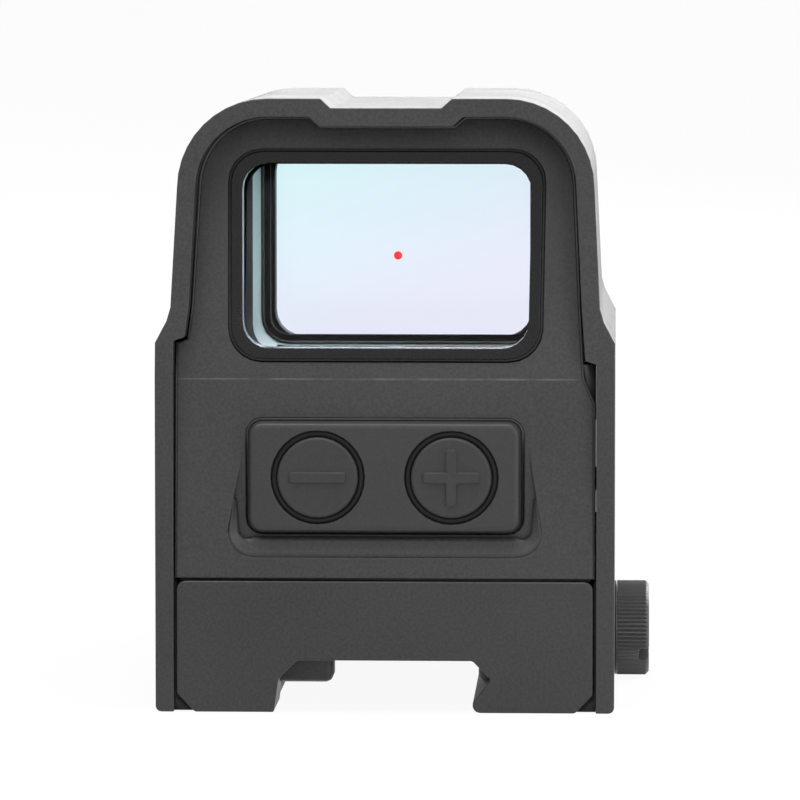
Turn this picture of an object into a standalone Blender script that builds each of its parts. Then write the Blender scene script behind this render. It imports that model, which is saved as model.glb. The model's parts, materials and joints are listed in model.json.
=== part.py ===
"""Enclosed red dot sight: a hooded reflex sight with a clamp for a 21 mm accessory rail."""

import math

import bmesh
import bpy
from mathutils import Matrix, Vector

# Sizes are metres. +X is to the right as the eye sees it, +Y points at the target and +Z is up.
# The origin is the middle of the rail seat, the flat ceiling of the rail slot.

# Fits
FIT_GAP = 0.0003
WELD = 0.000002
ROUND_STEPS = 32
SMALL_STEPS = 20

# Rail slot
SLOT_CEILING_HALF = 0.00925
SLOT_VERTEX_HALF = 0.0112
SLOT_TIP_HALF = 0.0093
SLOT_TIP_DEPTH = 0.0044
SLOT_LIP_ROUND = 0.0008
RELIEF_HALF = 0.0117

# Recoil lugs under the rail seat
LUG_INSET = 0.0045
LUG_LENGTH = 0.0040
LUG_DROP = 0.0029
LEFT_LUG_TIP = 0.0056
RIGHT_LUG_TIP = 0.0098
LUG_ROUND = 0.0008

# Mount base
BASE_LENGTH = 0.080
BASE_TOP = 0.0084
BASE_DEPTH = 0.0055
BASE_CHAMFER = 0.0019
BASE_TOP_ROUND = 0.0009

# Housing
BODY_WIDTH = 0.0439
CREASE_STEP = 0.00095
REAR_TUCK = 0.0002
CREASE_LEAN = 0.0014
TOP_LEAN = 0.0082
LEDGE_HEIGHT = 0.0334
LEDGE_RISE = 0.0004
RIGHT_LEDGE_DROP = 0.0024
RIGHT_SHOULDER_HEIGHT = 0.0271
RIGHT_SHOULDER_RISE = 0.0026
HEAD_FOOT_WIDTH = 0.0415
HEAD_MID_HEIGHT = 0.0372
HEAD_MID_WIDTH = 0.0407
HEAD_TOP_WIDTH = 0.0395
HEAD_CORNER = 0.0071
GROOVE_WIDTH = 0.0166
GROOVE_DRAFT = 0.6
GROOVE_SLOPE = 0.0011
GROOVE_DEPTH = 0.0010
HEAD_SETBACK = 0.007
FRONT_CHAMFER = 0.0030

# Hood
HOOD_WALL = 0.00195
HOOD_SHOULDER = 0.0335
HOOD_SHOULDER_RISE = 0.0023
HOOD_FOOT_ROUND = 0.0006
HOOD_SETBACK = 0.018
HOOD_BEND_HEIGHT = 0.036
HOOD_TOP_SETBACK = 0.006
HOOD_REAR_LEAN = 0.004

# Rear window
WINDOW_WIDTH = 0.0304
WINDOW_TAPER = 0.01
WINDOW_HEIGHT = 0.0199
WINDOW_SILL = 0.00295
WINDOW_BROW = 0.00435
WINDOW_CORNER = 0.0028
BEZEL_RIM = 0.0012
BEZEL_DEPTH = 0.0024
BEZEL_PROUD = 0.0003
GASKET_DEPTH = 0.0006
GLASS_DEPTH = 0.0020

# Optical tunnel
THROAT_LENGTH = 0.016
THROAT_BROW = 0.00065
THROAT_SILL = 0.0015
TUNNEL_HALF = 0.0156
TUNNEL_DROP = 0.01195
TUNNEL_RISE = 0.01125
TUNNEL_CORNER = 0.0030
FRONT_OPENING_HALF = 0.0146
FRONT_OPENING_DROP = 0.01175
FRONT_OPENING_RISE = 0.01005
FRONT_RIM = 0.0015
FRONT_BEZEL_DEPTH = 0.0030
CELL_DEPTH = 0.0030
CELL_RIM = 0.0007
CELL_LEDGE = 0.0004
LENS_DEPTH = 0.0022
CELL_SETBACK = 0.0110

# Buttons
PLINTH_WIDTH = 0.0287
PLINTH_HEIGHT = 0.0117
PLINTH_CENTRE_HEIGHT = 0.0194
PLINTH_CORNER = 0.0014
PLINTH_BEVEL = 0.0008
PLINTH_PROUD = 0.0002
PLINTH_DEPTH = 0.0045
BUTTON_SPACING = 0.01406
BUTTON_DIAMETER = 0.0085
BUTTON_RING = 0.0007
BUTTON_FLANGE = 0.0002
BUTTON_FLANGE_DEPTH = 0.0010
BUTTON_PROUD = 0.0002
BUTTON_TRAVEL = 0.0006
MARK_LENGTH = 0.0059
MARK_WIDTH = 0.0011
MARK_HEIGHT = 0.0003
SWITCH_SIDE = 0.0060
SWITCH_DEPTH = 0.0013
BOARD_DEPTH = 0.0016
RECESS_TOP_WIDTH = 0.0292
RECESS_FOOT_WIDTH = 0.0330
RECESS_FOOT_HEIGHT = 0.0109
RECESS_DEPTH = 0.0016
RECESS_FOOT_ROUND = 0.0026

# Emitter and its adjusters
TRENCH_HALF = 0.009
TRENCH_DEPTH = 0.0080
SLED_WIDTH = 0.010
SLED_DEPTH = 0.0064
SLED_HEIGHT = 0.0056
EMITTER_WIDTH = 0.006
EMITTER_DEPTH = 0.0050
EMITTER_PROUD = 0.0006
DIODE_SIZE = 0.0016
DIODE_DEPTH = 0.0010
ADJUSTER_SHAFT = 0.0020
ADJUSTER_HEAD = 0.0046
ADJUSTER_HEAD_DEPTH = 0.0022
ADJUSTER_SLOT = 0.0007
ADJUSTER_SLOT_DEPTH = 0.0008
ADJUSTER_RECESS = 0.0004
SEAL_DEPTH = 0.0008
CAM_DIAMETER = 0.0028
CAM_OFFSET = 0.00058
CAM_LENGTH = 0.005

# Battery and boards
BATTERY_DIAMETER = 0.017
BATTERY_LENGTH = 0.0345
BATTERY_NIP_DIAMETER = 0.0066
BATTERY_NIP_LENGTH = 0.0008
BATTERY_WALL = 0.0012
CONTACT_DEPTH = 0.0004
CONTACT_WIDTH = 0.009
CAP_RIM = 0.0008
CAP_FLANGE_DEPTH = 0.0026
CAP_PLUG_LENGTH = 0.0038
CAP_COIN_SLOT = 0.0018
CAP_COIN_DEPTH = 0.0012
CAP_CLEARANCE = 0.0012
CAP_RING = 0.0011
CAP_RING_INSET = 0.0008
CONTROL_BOARD_WIDTH = 0.0274
CONTROL_BOARD_CLEARANCE = 0.0058
CHIP_HEIGHT = 0.0016
CHIP_SIDE = 0.009

# Clamp
JAW_LENGTH = 0.0454
JAW_CENTRE = -0.007
JAW_BACK = 0.0170
JAW_TOP = 0.0039
JAW_FACE_HALF = 0.0100
JAW_TRAVEL = 0.0024
BOLT_DIAMETER = 0.0044
BOLT_HEIGHT = -0.0002
BOLT_HEAD = 0.0066
BOLT_HEAD_DEPTH = 0.0023
NUT_DIAMETER = 0.0105
NUT_DEPTH = 0.0035
NUT_ROUND = 0.0004
NUT_SLEEVE = 0.0080
NUT_SLEEVE_LENGTH = 0.0090
NUT_SLOT = 0.0013
NUT_SLOT_DEPTH = 0.0011
NUT_SLOT_ANGLE = 28.0
NUT_FLUTES = 72
NUT_FLUTE_DEPTH = 0.00022
NUT_CAP = 0.0012
PIN_DIAMETER = 0.0020
PIN_LENGTH = 0.013
PIN_HEIGHT = 0.0019
PIN_REAR_CLEARANCE = 0.006
PIN_FRONT_CLEARANCE = 0.009

# Screws
HOOD_SCREW_HEAD = 0.0050
HOOD_SCREW_HEAD_DEPTH = 0.0011
HOOD_SCREW_SHANK = 0.0024
HOOD_SCREW_LENGTH = 0.0055
HOOD_SCREW_HEIGHT = 0.0140
HOOD_SCREW_STEP = 0.0025
HOOD_SCREW_REAR_INSET = 0.007
HOOD_SCREW_FRONT_INSET = 0.005
BASE_SCREW_HEAD = 0.0056
BASE_SCREW_HEAD_DEPTH = 0.0028
BASE_SCREW_SHANK = 0.0030
BASE_SCREW_LENGTH = 0.0125
BASE_SCREW_SIDE = 0.0055
BASE_SCREW_REAR_INSET = 0.012
BASE_SCREW_FRONT_INSET = 0.023
HEX_SIZE = 0.0020
HEX_DEPTH = 0.0010

# Places worked out from the sizes
BODY_HALF = BODY_WIDTH / 2
REAR = -BASE_LENGTH / 2
BASE_FRONT = BASE_LENGTH / 2
HOUSING_FLOOR = BASE_TOP + FIT_GAP
SLOT_VERTEX_DEPTH = SLOT_VERTEX_HALF - SLOT_CEILING_HALF
LUG_REAR = REAR + LUG_INSET
HOOD_FRONT = BASE_FRONT - HOOD_SETBACK
HEAD_FRONT = HOOD_FRONT - HEAD_SETBACK
BATTERY_BORE = BATTERY_DIAMETER / 2 + FIT_GAP
CAP_DIAMETER = BATTERY_DIAMETER + 2 * CAP_RIM
BATTERY_Y = HOOD_FRONT + CAP_CLEARANCE + CAP_DIAMETER / 2
BATTERY_Z = HOUSING_FLOOR + BATTERY_WALL + BATTERY_BORE
FRONT_BLOCK_TOP = BATTERY_Z + BATTERY_BORE + BATTERY_WALL
HOUSING_FRONT = BATTERY_Y + BATTERY_BORE + BATTERY_WALL
CREASE_HEIGHT = FRONT_BLOCK_TOP + CREASE_STEP
WINDOW_CENTRE_HEIGHT = CREASE_HEIGHT + WINDOW_SILL + WINDOW_HEIGHT / 2
HEAD_TOP = WINDOW_CENTRE_HEIGHT + WINDOW_HEIGHT / 2 + WINDOW_BROW
HOOD_INNER_HALF = BODY_HALF + FIT_GAP
HOOD_OUTER_HALF = HOOD_INNER_HALF + HOOD_WALL
HOOD_TOP = HEAD_TOP + FIT_GAP + HOOD_WALL
CREASE_Y = REAR + REAR_TUCK + CREASE_LEAN
HEAD_REAR_Y = REAR + TOP_LEAN
LEAN = math.atan2(HEAD_REAR_Y - CREASE_Y, HEAD_TOP - CREASE_HEIGHT)
THROAT_FRONT = REAR + THROAT_LENGTH
THROAT_FLOOR = WINDOW_CENTRE_HEIGHT - WINDOW_HEIGHT / 2 - THROAT_SILL
THROAT_ROOF = WINDOW_CENTRE_HEIGHT + WINDOW_HEIGHT / 2 - THROAT_BROW
TUNNEL_FLOOR = WINDOW_CENTRE_HEIGHT - TUNNEL_DROP
TUNNEL_ROOF = WINDOW_CENTRE_HEIGHT + TUNNEL_RISE
FRONT_OPENING_FLOOR = WINDOW_CENTRE_HEIGHT - FRONT_OPENING_DROP
FRONT_OPENING_ROOF = WINDOW_CENTRE_HEIGHT + FRONT_OPENING_RISE
CELL_CENTRE = HEAD_FRONT - CELL_SETBACK
PLINTH_FACE = REAR - PLINTH_PROUD
CAP_FACE = -BODY_HALF - FIT_GAP
PLUG_END = CAP_FACE + CAP_PLUG_LENGTH
BATTERY_START = PLUG_END + FIT_GAP
BATTERY_END = BATTERY_START + BATTERY_LENGTH
BORE_END = BATTERY_END + 2 * FIT_GAP + CONTACT_DEPTH
SLED_REAR = THROAT_FRONT + 2 * FIT_GAP
EMITTER_REAR = SLED_REAR + SLED_DEPTH + FIT_GAP
DIODE_REAR = EMITTER_REAR + EMITTER_DEPTH + FIT_GAP
TRENCH_FRONT = DIODE_REAR + DIODE_DEPTH + 2 * FIT_GAP
TRENCH_FLOOR = TUNNEL_FLOOR - TRENCH_DEPTH
EMITTER_TOP = TUNNEL_FLOOR + EMITTER_PROUD
SLED_FLOOR = TRENCH_FLOOR + FIT_GAP
WINDAGE_AXIS = (SLED_REAR + SLED_DEPTH / 2, SLED_FLOOR + SLED_HEIGHT / 2)
ELEVATION_AXIS = (EMITTER_REAR + EMITTER_DEPTH / 2, SLED_FLOOR + CAM_DIAMETER / 2 + CAM_OFFSET)
EMITTER_FLOOR = ELEVATION_AXIS[1] + CAM_DIAMETER / 2 + FIT_GAP
BUTTON_BACK = PLINTH_FACE + PLINTH_DEPTH - FIT_GAP
SWITCH_FACE = BUTTON_BACK + BUTTON_TRAVEL + FIT_GAP
SWITCH_BACK = SWITCH_FACE + SWITCH_DEPTH
BOARD_FACE = SWITCH_BACK + FIT_GAP
KEYPAD_FLOOR = BOARD_FACE + BOARD_DEPTH + FIT_GAP
POCKET_TOP = JAW_TOP + FIT_GAP
POCKET_BACK = -JAW_BACK - JAW_TRAVEL - FIT_GAP
POCKET_FACE = -JAW_FACE_HALF + FIT_GAP
NUT_FACE = HOOD_OUTER_HALF + FIT_GAP
SLEEVE_END = NUT_FACE - NUT_SLEEVE_LENGTH
BOLT_END = NUT_FACE + NUT_DEPTH - NUT_CAP - FIT_GAP
BASE_SCREW_REAR = REAR + BASE_SCREW_REAR_INSET
BASE_SCREW_FRONT = BASE_FRONT - BASE_SCREW_FRONT_INSET
PIN_PLACES = {"rear": BASE_SCREW_REAR + PIN_REAR_CLEARANCE, "front": BASE_SCREW_FRONT - PIN_FRONT_CLEARANCE}

# Outline and frame helpers

PLANES = {
    "XZ": Matrix.Rotation(math.pi / 2, 4, "X"),
    "YZ": Matrix(((0, 0, 1, 0), (1, 0, 0, 0), (0, 1, 0, 0), (0, 0, 0, 1))),
    "XY": Matrix.Identity(4),
}
NORMALS = {"XZ": Vector((0, 1, 0)), "YZ": Vector((1, 0, 0)), "XY": Vector((0, 0, 1))}
ALONG_X = Matrix.Rotation(math.pi / 2, 4, "Y")
ALONG_Y = Matrix.Rotation(-math.pi / 2, 4, "X")
UPRIGHT = Matrix.Identity(4)


def arc(centre, radius, start, end, steps):
    """Points on a circle from the start angle to the end angle, in degrees."""
    turns = [math.radians(start + (end - start) * i / steps) for i in range(steps + 1)]
    return [(centre[0] + radius * math.cos(t), centre[1] + radius * math.sin(t)) for t in turns]


def rounded_outline(u0, u1, v0, v1, radius, steps=5):
    """A rectangle with round corners, counter-clockwise."""
    corners = ((u1, v0, -90), (u1, v1, 0), (u0, v1, 90), (u0, v0, 180))
    middle = ((u0 + u1) / 2, (v0 + v1) / 2)
    points = []
    for u, v, start in corners:
        centre = (u + math.copysign(radius, middle[0] - u), v + math.copysign(radius, middle[1] - v))
        points += arc(centre, radius, start, start + 90, steps)
    return points


def two_sided(right, left):
    """A closed outline from its right side and the mirror of its left side, both from the bottom up."""
    return right + [(-u, v) for u, v in reversed(left)]


# Object helpers


def clear_scene():
    for obj in list(bpy.data.objects):
        bpy.data.objects.remove(obj, do_unlink=True)


def new_collection(name):
    collection = bpy.data.collections.new(name)
    bpy.context.scene.collection.children.link(collection)
    return collection


def as_solid(source, group):
    """The evaluated shape of a curve or a modified mesh as a welded mesh, in place of the source."""
    bpy.context.view_layer.update()
    evaluated = source.evaluated_get(bpy.context.evaluated_depsgraph_get())
    mesh = bpy.data.meshes.new_from_object(evaluated)
    work = bmesh.new()
    work.from_mesh(mesh)
    bmesh.ops.remove_doubles(work, verts=work.verts, dist=WELD)
    bmesh.ops.dissolve_limit(work, angle_limit=0.001, verts=work.verts, edges=work.edges)
    bmesh.ops.recalc_face_normals(work, faces=work.faces)
    work.to_mesh(mesh)
    work.free()
    name = source.name
    place = source.matrix_world.copy()
    bpy.data.objects.remove(source, do_unlink=True)
    obj = bpy.data.objects.new(name, mesh)
    obj.matrix_world = place
    group.objects.link(obj)
    return obj


def outline_curve(name, loops, thickness):
    curve = bpy.data.curves.new(name, "CURVE")
    curve.dimensions = "2D"
    curve.fill_mode = "BOTH"
    curve.extrude = thickness / 2
    for loop in loops:
        spline = curve.splines.new("POLY")
        spline.points.add(len(loop) - 1)
        for point, (u, v) in zip(spline.points, loop):
            point.co = (u, v, 0, 1)
        spline.use_cyclic_u = True
    return curve


def prism(name, group, plane, loops, start, end, frame=UPRIGHT):
    """A solid of an outline, with holes if there are more loops, from start to end square to a plane."""
    curve = outline_curve(name, loops, end - start)
    obj = bpy.data.objects.new(name, curve)
    obj.matrix_world = frame @ Matrix.Translation(NORMALS[plane] * (start + end) / 2) @ PLANES[plane]
    group.objects.link(obj)
    return as_solid(obj, group)


def block(name, group, x, y, z):
    """A box between pairs of coordinates."""
    work = bmesh.new()
    size = Matrix.Diagonal((x[1] - x[0], y[1] - y[0], z[1] - z[0], 1))
    bmesh.ops.create_cube(work, size=1, matrix=size)
    mesh = bpy.data.meshes.new(name)
    work.to_mesh(mesh)
    work.free()
    obj = bpy.data.objects.new(name, mesh)
    obj.location = (sum(x) / 2, sum(y) / 2, sum(z) / 2)
    group.objects.link(obj)
    return obj


def turned(name, group, profile, origin, axis, steps=ROUND_STEPS, closed=False):
    """A solid of revolution. The profile is (radius, height) and runs down its outer side."""
    count = len(profile)
    edges = [(i, i + 1) for i in range(count - 1)]
    if closed:
        edges.append((count - 1, 0))
    mesh = bpy.data.meshes.new(name)
    mesh.from_pydata([(radius, 0, height) for radius, height in profile], edges, [])
    obj = bpy.data.objects.new(name, mesh)
    obj.matrix_world = Matrix.Translation(origin) @ axis
    group.objects.link(obj)
    screw = obj.modifiers.new("turn", "SCREW")
    screw.steps = steps
    screw.render_steps = steps
    screw.use_merge_vertices = True
    screw.merge_threshold = WELD
    return as_solid(obj, group)


def rod(name, group, radius, length, origin, axis, steps=ROUND_STEPS):
    """A plain cylinder that starts at the origin and runs along the axis."""
    work = bmesh.new()
    bmesh.ops.create_cone(
        work,
        cap_ends=True,
        segments=steps,
        radius1=radius,
        radius2=radius,
        depth=length,
        matrix=Matrix.Translation((0, 0, length / 2)),
    )
    mesh = bpy.data.meshes.new(name)
    work.to_mesh(mesh)
    work.free()
    obj = bpy.data.objects.new(name, mesh)
    obj.matrix_world = Matrix.Translation(origin) @ axis
    group.objects.link(obj)
    return obj


def boolean(target, tool, operation):
    modifier = target.modifiers.new(operation.lower() + "_" + tool.name, "BOOLEAN")
    modifier.operation = operation
    modifier.object = tool
    modifier.solver = "EXACT"
    tool.hide_render = True
    tool.display_type = "WIRE"


def cut(target, *tools):
    for tool in tools:
        boolean(target, tool, "DIFFERENCE")


def bevel(obj, width):
    modifier = obj.modifiers.new("edges", "BEVEL")
    modifier.width = width
    modifier.segments = 2
    modifier.limit_method = "ANGLE"
    modifier.angle_limit = math.radians(60)


clear_scene()
PARTS = new_collection("red_dot_sight")
CUTTERS = new_collection("cutters")

# Sections that the housing and the hood share


def head_half(bottom, gap, shoulder, rise):
    """Right half of the head section, moved out by a gap, from the foot to the middle of the top."""
    foot = BODY_HALF + gap
    top = HEAD_TOP + gap
    corner = HEAD_CORNER + gap
    corner_x = HEAD_TOP_WIDTH / 2 + gap
    groove = GROOVE_WIDTH / 2 - gap * GROOVE_DRAFT
    half = [
        (foot, bottom),
        (foot, shoulder),
        (HEAD_FOOT_WIDTH / 2 + gap, shoulder + rise),
        (HEAD_MID_WIDTH / 2 + gap, HEAD_MID_HEIGHT),
    ]
    half += arc((corner_x - corner, top - corner), corner, 0, 90, 10)
    half += [(groove, top), (groove - GROOVE_SLOPE, top - GROOVE_DEPTH)]
    return half


def housing_side():
    """Side outline of the housing: leaning window face, upright button face, low battery block in front."""
    over = HEAD_TOP + HEAD_CORNER
    lean = math.tan(LEAN)
    return [
        (REAR + REAR_TUCK, HOUSING_FLOOR),
        (HOUSING_FRONT, HOUSING_FLOOR),
        (HOUSING_FRONT, FRONT_BLOCK_TOP - FRONT_CHAMFER),
        (HOUSING_FRONT - FRONT_CHAMFER, FRONT_BLOCK_TOP),
        (HEAD_FRONT, FRONT_BLOCK_TOP),
        (HEAD_FRONT, over),
        (CREASE_Y + lean * (over - CREASE_HEIGHT), over),
        (CREASE_Y, CREASE_HEIGHT),
    ]


def hood_side():
    """Side outline of the hood: upright plates whose edges lean in above the window."""
    over = HOOD_TOP + HOOD_WALL
    under = -BASE_DEPTH - HOOD_WALL
    lean_in = HOOD_REAR_LEAN * (over - CREASE_HEIGHT) / (HOOD_TOP - CREASE_HEIGHT)
    set_back = HOOD_TOP_SETBACK * (over - HOOD_BEND_HEIGHT) / (HOOD_TOP - HOOD_BEND_HEIGHT)
    return [
        (REAR, under),
        (HOOD_FRONT, under),
        (HOOD_FRONT, HOOD_BEND_HEIGHT),
        (HOOD_FRONT - set_back, over),
        (REAR + lean_in, over),
        (REAR, CREASE_HEIGHT),
    ]


def window_frame(depth):
    """A frame on the leaning face at the window's middle. Its Y runs into the housing."""
    y = CREASE_Y + math.tan(LEAN) * (WINDOW_CENTRE_HEIGHT - CREASE_HEIGHT)
    place = Matrix.Translation((0, y, WINDOW_CENTRE_HEIGHT)) @ Matrix.Rotation(-LEAN, 4, "X")
    return place @ Matrix.Translation((0, depth, 0))


def window_outline(grow):
    """The window on the leaning face with a margin round it, a little wider at the top."""
    half_width = WINDOW_WIDTH / 2 + grow
    half_height = WINDOW_HEIGHT / 2 + grow
    loop = rounded_outline(-half_width, half_width, -half_height, half_height, WINDOW_CORNER + grow / 2)
    return [(u * (1 + WINDOW_TAPER * v / half_height), v) for u, v in loop]


def sight_outline():
    """The window as the eye sees it, on an upright plane."""
    return [(u, WINDOW_CENTRE_HEIGHT + v * math.cos(LEAN)) for u, v in window_outline(0)]


def front_outline(grow):
    return rounded_outline(
        -FRONT_OPENING_HALF - grow,
        FRONT_OPENING_HALF + grow,
        FRONT_OPENING_FLOOR - grow,
        FRONT_OPENING_ROOF + grow,
        TUNNEL_CORNER,
    )


# Shells


def slot_lip():
    """The lower lip of a jaw: a round that joins the slanted facet to the underside."""
    facet = math.atan2(SLOT_TIP_DEPTH - SLOT_VERTEX_DEPTH, SLOT_VERTEX_HALF - SLOT_TIP_HALF)
    corner = SLOT_VERTEX_HALF - (BASE_DEPTH - SLOT_VERTEX_DEPTH) / math.tan(facet)
    centre = (corner + SLOT_LIP_ROUND / math.tan(facet / 2), SLOT_LIP_ROUND - BASE_DEPTH)
    return arc(centre, SLOT_LIP_ROUND, 90 + math.degrees(facet), 270, 5)


def make_base():
    half = BODY_HALF
    chamfer = BASE_CHAMFER
    top_round = arc((half - BASE_TOP_ROUND, BASE_TOP - BASE_TOP_ROUND), BASE_TOP_ROUND, 0, 90, 3)
    section = [
        (SLOT_CEILING_HALF, 0),
        (SLOT_VERTEX_HALF, -SLOT_VERTEX_DEPTH),
        *slot_lip(),
        (half - chamfer, -BASE_DEPTH),
        (half, -BASE_DEPTH + chamfer),
        *top_round,
        *[(-u, v) for u, v in reversed(top_round)],
        (-half, -BASE_DEPTH + chamfer),
        (-half + chamfer, -BASE_DEPTH),
        (-RELIEF_HALF, -BASE_DEPTH),
        (-SLOT_VERTEX_HALF, -SLOT_VERTEX_DEPTH),
        (-SLOT_CEILING_HALF, 0),
    ]
    base = prism("mount_base", PARTS, "XZ", [section], REAR, BASE_FRONT)
    jaw_ends = (JAW_CENTRE - JAW_LENGTH / 2 - FIT_GAP, JAW_CENTRE + JAW_LENGTH / 2 + FIT_GAP)
    pocket_z = (-2 * BASE_DEPTH, POCKET_TOP)
    pocket = block("jaw_pocket", CUTTERS, (POCKET_BACK, POCKET_FACE), jaw_ends, pocket_z)
    bolt_way = rod(
        "bolt_way",
        CUTTERS,
        BOLT_DIAMETER / 2 + FIT_GAP,
        SLEEVE_END + 2 * SLOT_VERTEX_HALF,
        (-SLOT_VERTEX_HALF, JAW_CENTRE, BOLT_HEIGHT),
        ALONG_X,
        SMALL_STEPS,
    )
    sleeve_way = rod(
        "sleeve_way",
        CUTTERS,
        NUT_SLEEVE / 2 + FIT_GAP,
        NUT_SLEEVE_LENGTH + NUT_DEPTH,
        (SLEEVE_END - FIT_GAP, JAW_CENTRE, BOLT_HEIGHT),
        ALONG_X,
        SMALL_STEPS,
    )
    cut(base, pocket, bolt_way, sleeve_way)
    lug_y = (LUG_REAR, LUG_REAR + LUG_LENGTH)
    lug_z = (-LUG_DROP, BASE_TOP / 2)
    for name, span in (
        ("left_lug", (-SLOT_VERTEX_HALF - LUG_ROUND, -LEFT_LUG_TIP)),
        ("right_lug", (RIGHT_LUG_TIP, SLOT_VERTEX_HALF + LUG_LENGTH)),
    ):
        lug = block(name, CUTTERS, span, lug_y, lug_z)
        bevel(lug, LUG_ROUND)
        boolean(base, lug, "UNION")
    for name, y in PIN_PLACES.items():
        pin_way = rod(
            f"{name}_pin_way",
            CUTTERS,
            PIN_DIAMETER / 2 + FIT_GAP,
            PIN_LENGTH + 2 * FIT_GAP,
            (-JAW_BACK - FIT_GAP, y, PIN_HEIGHT),
            ALONG_X,
            SMALL_STEPS,
        )
        cut(base, pin_way)
    return base


def make_housing():
    left = head_half(HOUSING_FLOOR, 0, LEDGE_HEIGHT, LEDGE_RISE)
    right = head_half(HOUSING_FLOOR, 0, RIGHT_SHOULDER_HEIGHT, RIGHT_SHOULDER_RISE)
    section = two_sided(right, left)
    housing = prism("main_housing", PARTS, "XZ", [section], REAR, HOUSING_FRONT + FIT_GAP)
    side = prism("housing_side", CUTTERS, "YZ", [housing_side()], -BODY_WIDTH, BODY_WIDTH)
    boolean(housing, side, "INTERSECT")

    rim = BEZEL_RIM + FIT_GAP
    pocket_depth = BEZEL_DEPTH + GASKET_DEPTH + GLASS_DEPTH + 3 * FIT_GAP - BEZEL_PROUD
    window = window_outline(rim)
    pocket = prism("window_pocket", CUTTERS, "XZ", [window], -pocket_depth, pocket_depth, window_frame(0))
    half = WINDOW_WIDTH / 2
    throat_loop = rounded_outline(-half, half, THROAT_FLOOR, THROAT_ROOF, WINDOW_CORNER)
    throat = prism("throat", CUTTERS, "XZ", [throat_loop], REAR, THROAT_FRONT + FIT_GAP)
    start = pocket_depth - GLASS_DEPTH / 2
    wide = window_outline(BODY_WIDTH)
    behind_pane = prism("behind_pane", CUTTERS, "XZ", [wide], start, BODY_WIDTH, window_frame(0))
    boolean(throat, behind_pane, "INTERSECT")
    tunnel_loop = rounded_outline(-TUNNEL_HALF, TUNNEL_HALF, TUNNEL_FLOOR, TUNNEL_ROOF, TUNNEL_CORNER)
    tunnel = prism("tunnel", CUTTERS, "XZ", [tunnel_loop], THROAT_FRONT, HEAD_FRONT + FIT_GAP)
    front_depth = FRONT_BEZEL_DEPTH + GASKET_DEPTH + GLASS_DEPTH + 3 * FIT_GAP
    front_loop = front_outline(FRONT_RIM + FIT_GAP)
    front = prism("front_pocket", CUTTERS, "XZ", [front_loop], HEAD_FRONT - front_depth, HOUSING_FRONT)
    trench = block(
        "trench",
        CUTTERS,
        (-TRENCH_HALF, TRENCH_HALF),
        (THROAT_FRONT + FIT_GAP, TRENCH_FRONT),
        (TRENCH_FLOOR, TUNNEL_FLOOR + TUNNEL_CORNER),
    )
    cut(housing, pocket, throat, tunnel, front, trench)
    return housing


def make_hood():
    """A bent cover over the housing, whose side plates run down past the base."""
    ledge = LEDGE_HEIGHT + FIT_GAP
    inner_left = head_half(-BASE_DEPTH, FIT_GAP, ledge, LEDGE_RISE)
    inner_right = head_half(-BASE_DEPTH, FIT_GAP, ledge - RIGHT_LEDGE_DROP, LEDGE_RISE)
    outer = head_half(-BASE_DEPTH, FIT_GAP + HOOD_WALL, HOOD_SHOULDER, HOOD_SHOULDER_RISE)
    foot_centre = (HOOD_OUTER_HALF - HOOD_FOOT_ROUND, -BASE_DEPTH + HOOD_FOOT_ROUND)
    outer = arc(foot_centre, HOOD_FOOT_ROUND, -90, 0, 3) + outer[1:]
    section = two_sided(outer, outer) + list(reversed(two_sided(inner_right, inner_left)))
    hood = prism("hood", PARTS, "XZ", [section], REAR, HOOD_FRONT)
    side = prism("hood_side", CUTTERS, "YZ", [hood_side()], -BODY_WIDTH, BODY_WIDTH)
    boolean(hood, side, "INTERSECT")
    return hood


BASE = make_base()
HOUSING = make_housing()
HOOD = make_hood()


# Windows and lens


def make_rear_window():
    """Bezel, gasket and pane, one behind the other in the leaning pocket."""
    outer = window_outline(BEZEL_RIM)
    back = BEZEL_DEPTH - BEZEL_PROUD
    bezel = prism("rear_bezel", PARTS, "XZ", [outer], -BEZEL_PROUD, back, window_frame(0))
    opening = prism("bezel_opening", CUTTERS, "XZ", [sight_outline()], REAR - BEZEL_DEPTH, THROAT_FRONT)
    cut(bezel, opening)
    gasket_face = back + FIT_GAP
    gasket_back = gasket_face + GASKET_DEPTH
    gasket_loops = [outer, window_outline(0.6 * BEZEL_RIM)]
    prism("rear_gasket", PARTS, "XZ", gasket_loops, gasket_face, gasket_back, window_frame(0))
    pane_face = gasket_back + FIT_GAP
    prism("rear_window", PARTS, "XZ", [outer], pane_face, pane_face + GLASS_DEPTH, window_frame(0))


def make_front_window():
    outer = front_outline(FRONT_RIM)
    bezel_face = HEAD_FRONT - FRONT_BEZEL_DEPTH
    prism("front_bezel", PARTS, "XZ", [outer, front_outline(0)], bezel_face, HEAD_FRONT)
    gasket_back = bezel_face - FIT_GAP
    gasket_face = gasket_back - GASKET_DEPTH
    prism("front_gasket", PARTS, "XZ", [outer, front_outline(FRONT_RIM / 3)], gasket_face, gasket_back)
    pane_back = gasket_face - FIT_GAP
    prism("front_window", PARTS, "XZ", [outer], pane_back - GLASS_DEPTH, pane_back)


def cell_outline(inset):
    inset = inset + FIT_GAP
    return rounded_outline(
        -TUNNEL_HALF + inset,
        TUNNEL_HALF - inset,
        TUNNEL_FLOOR + inset,
        TUNNEL_ROOF - inset,
        TUNNEL_CORNER - inset,
    )


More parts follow.
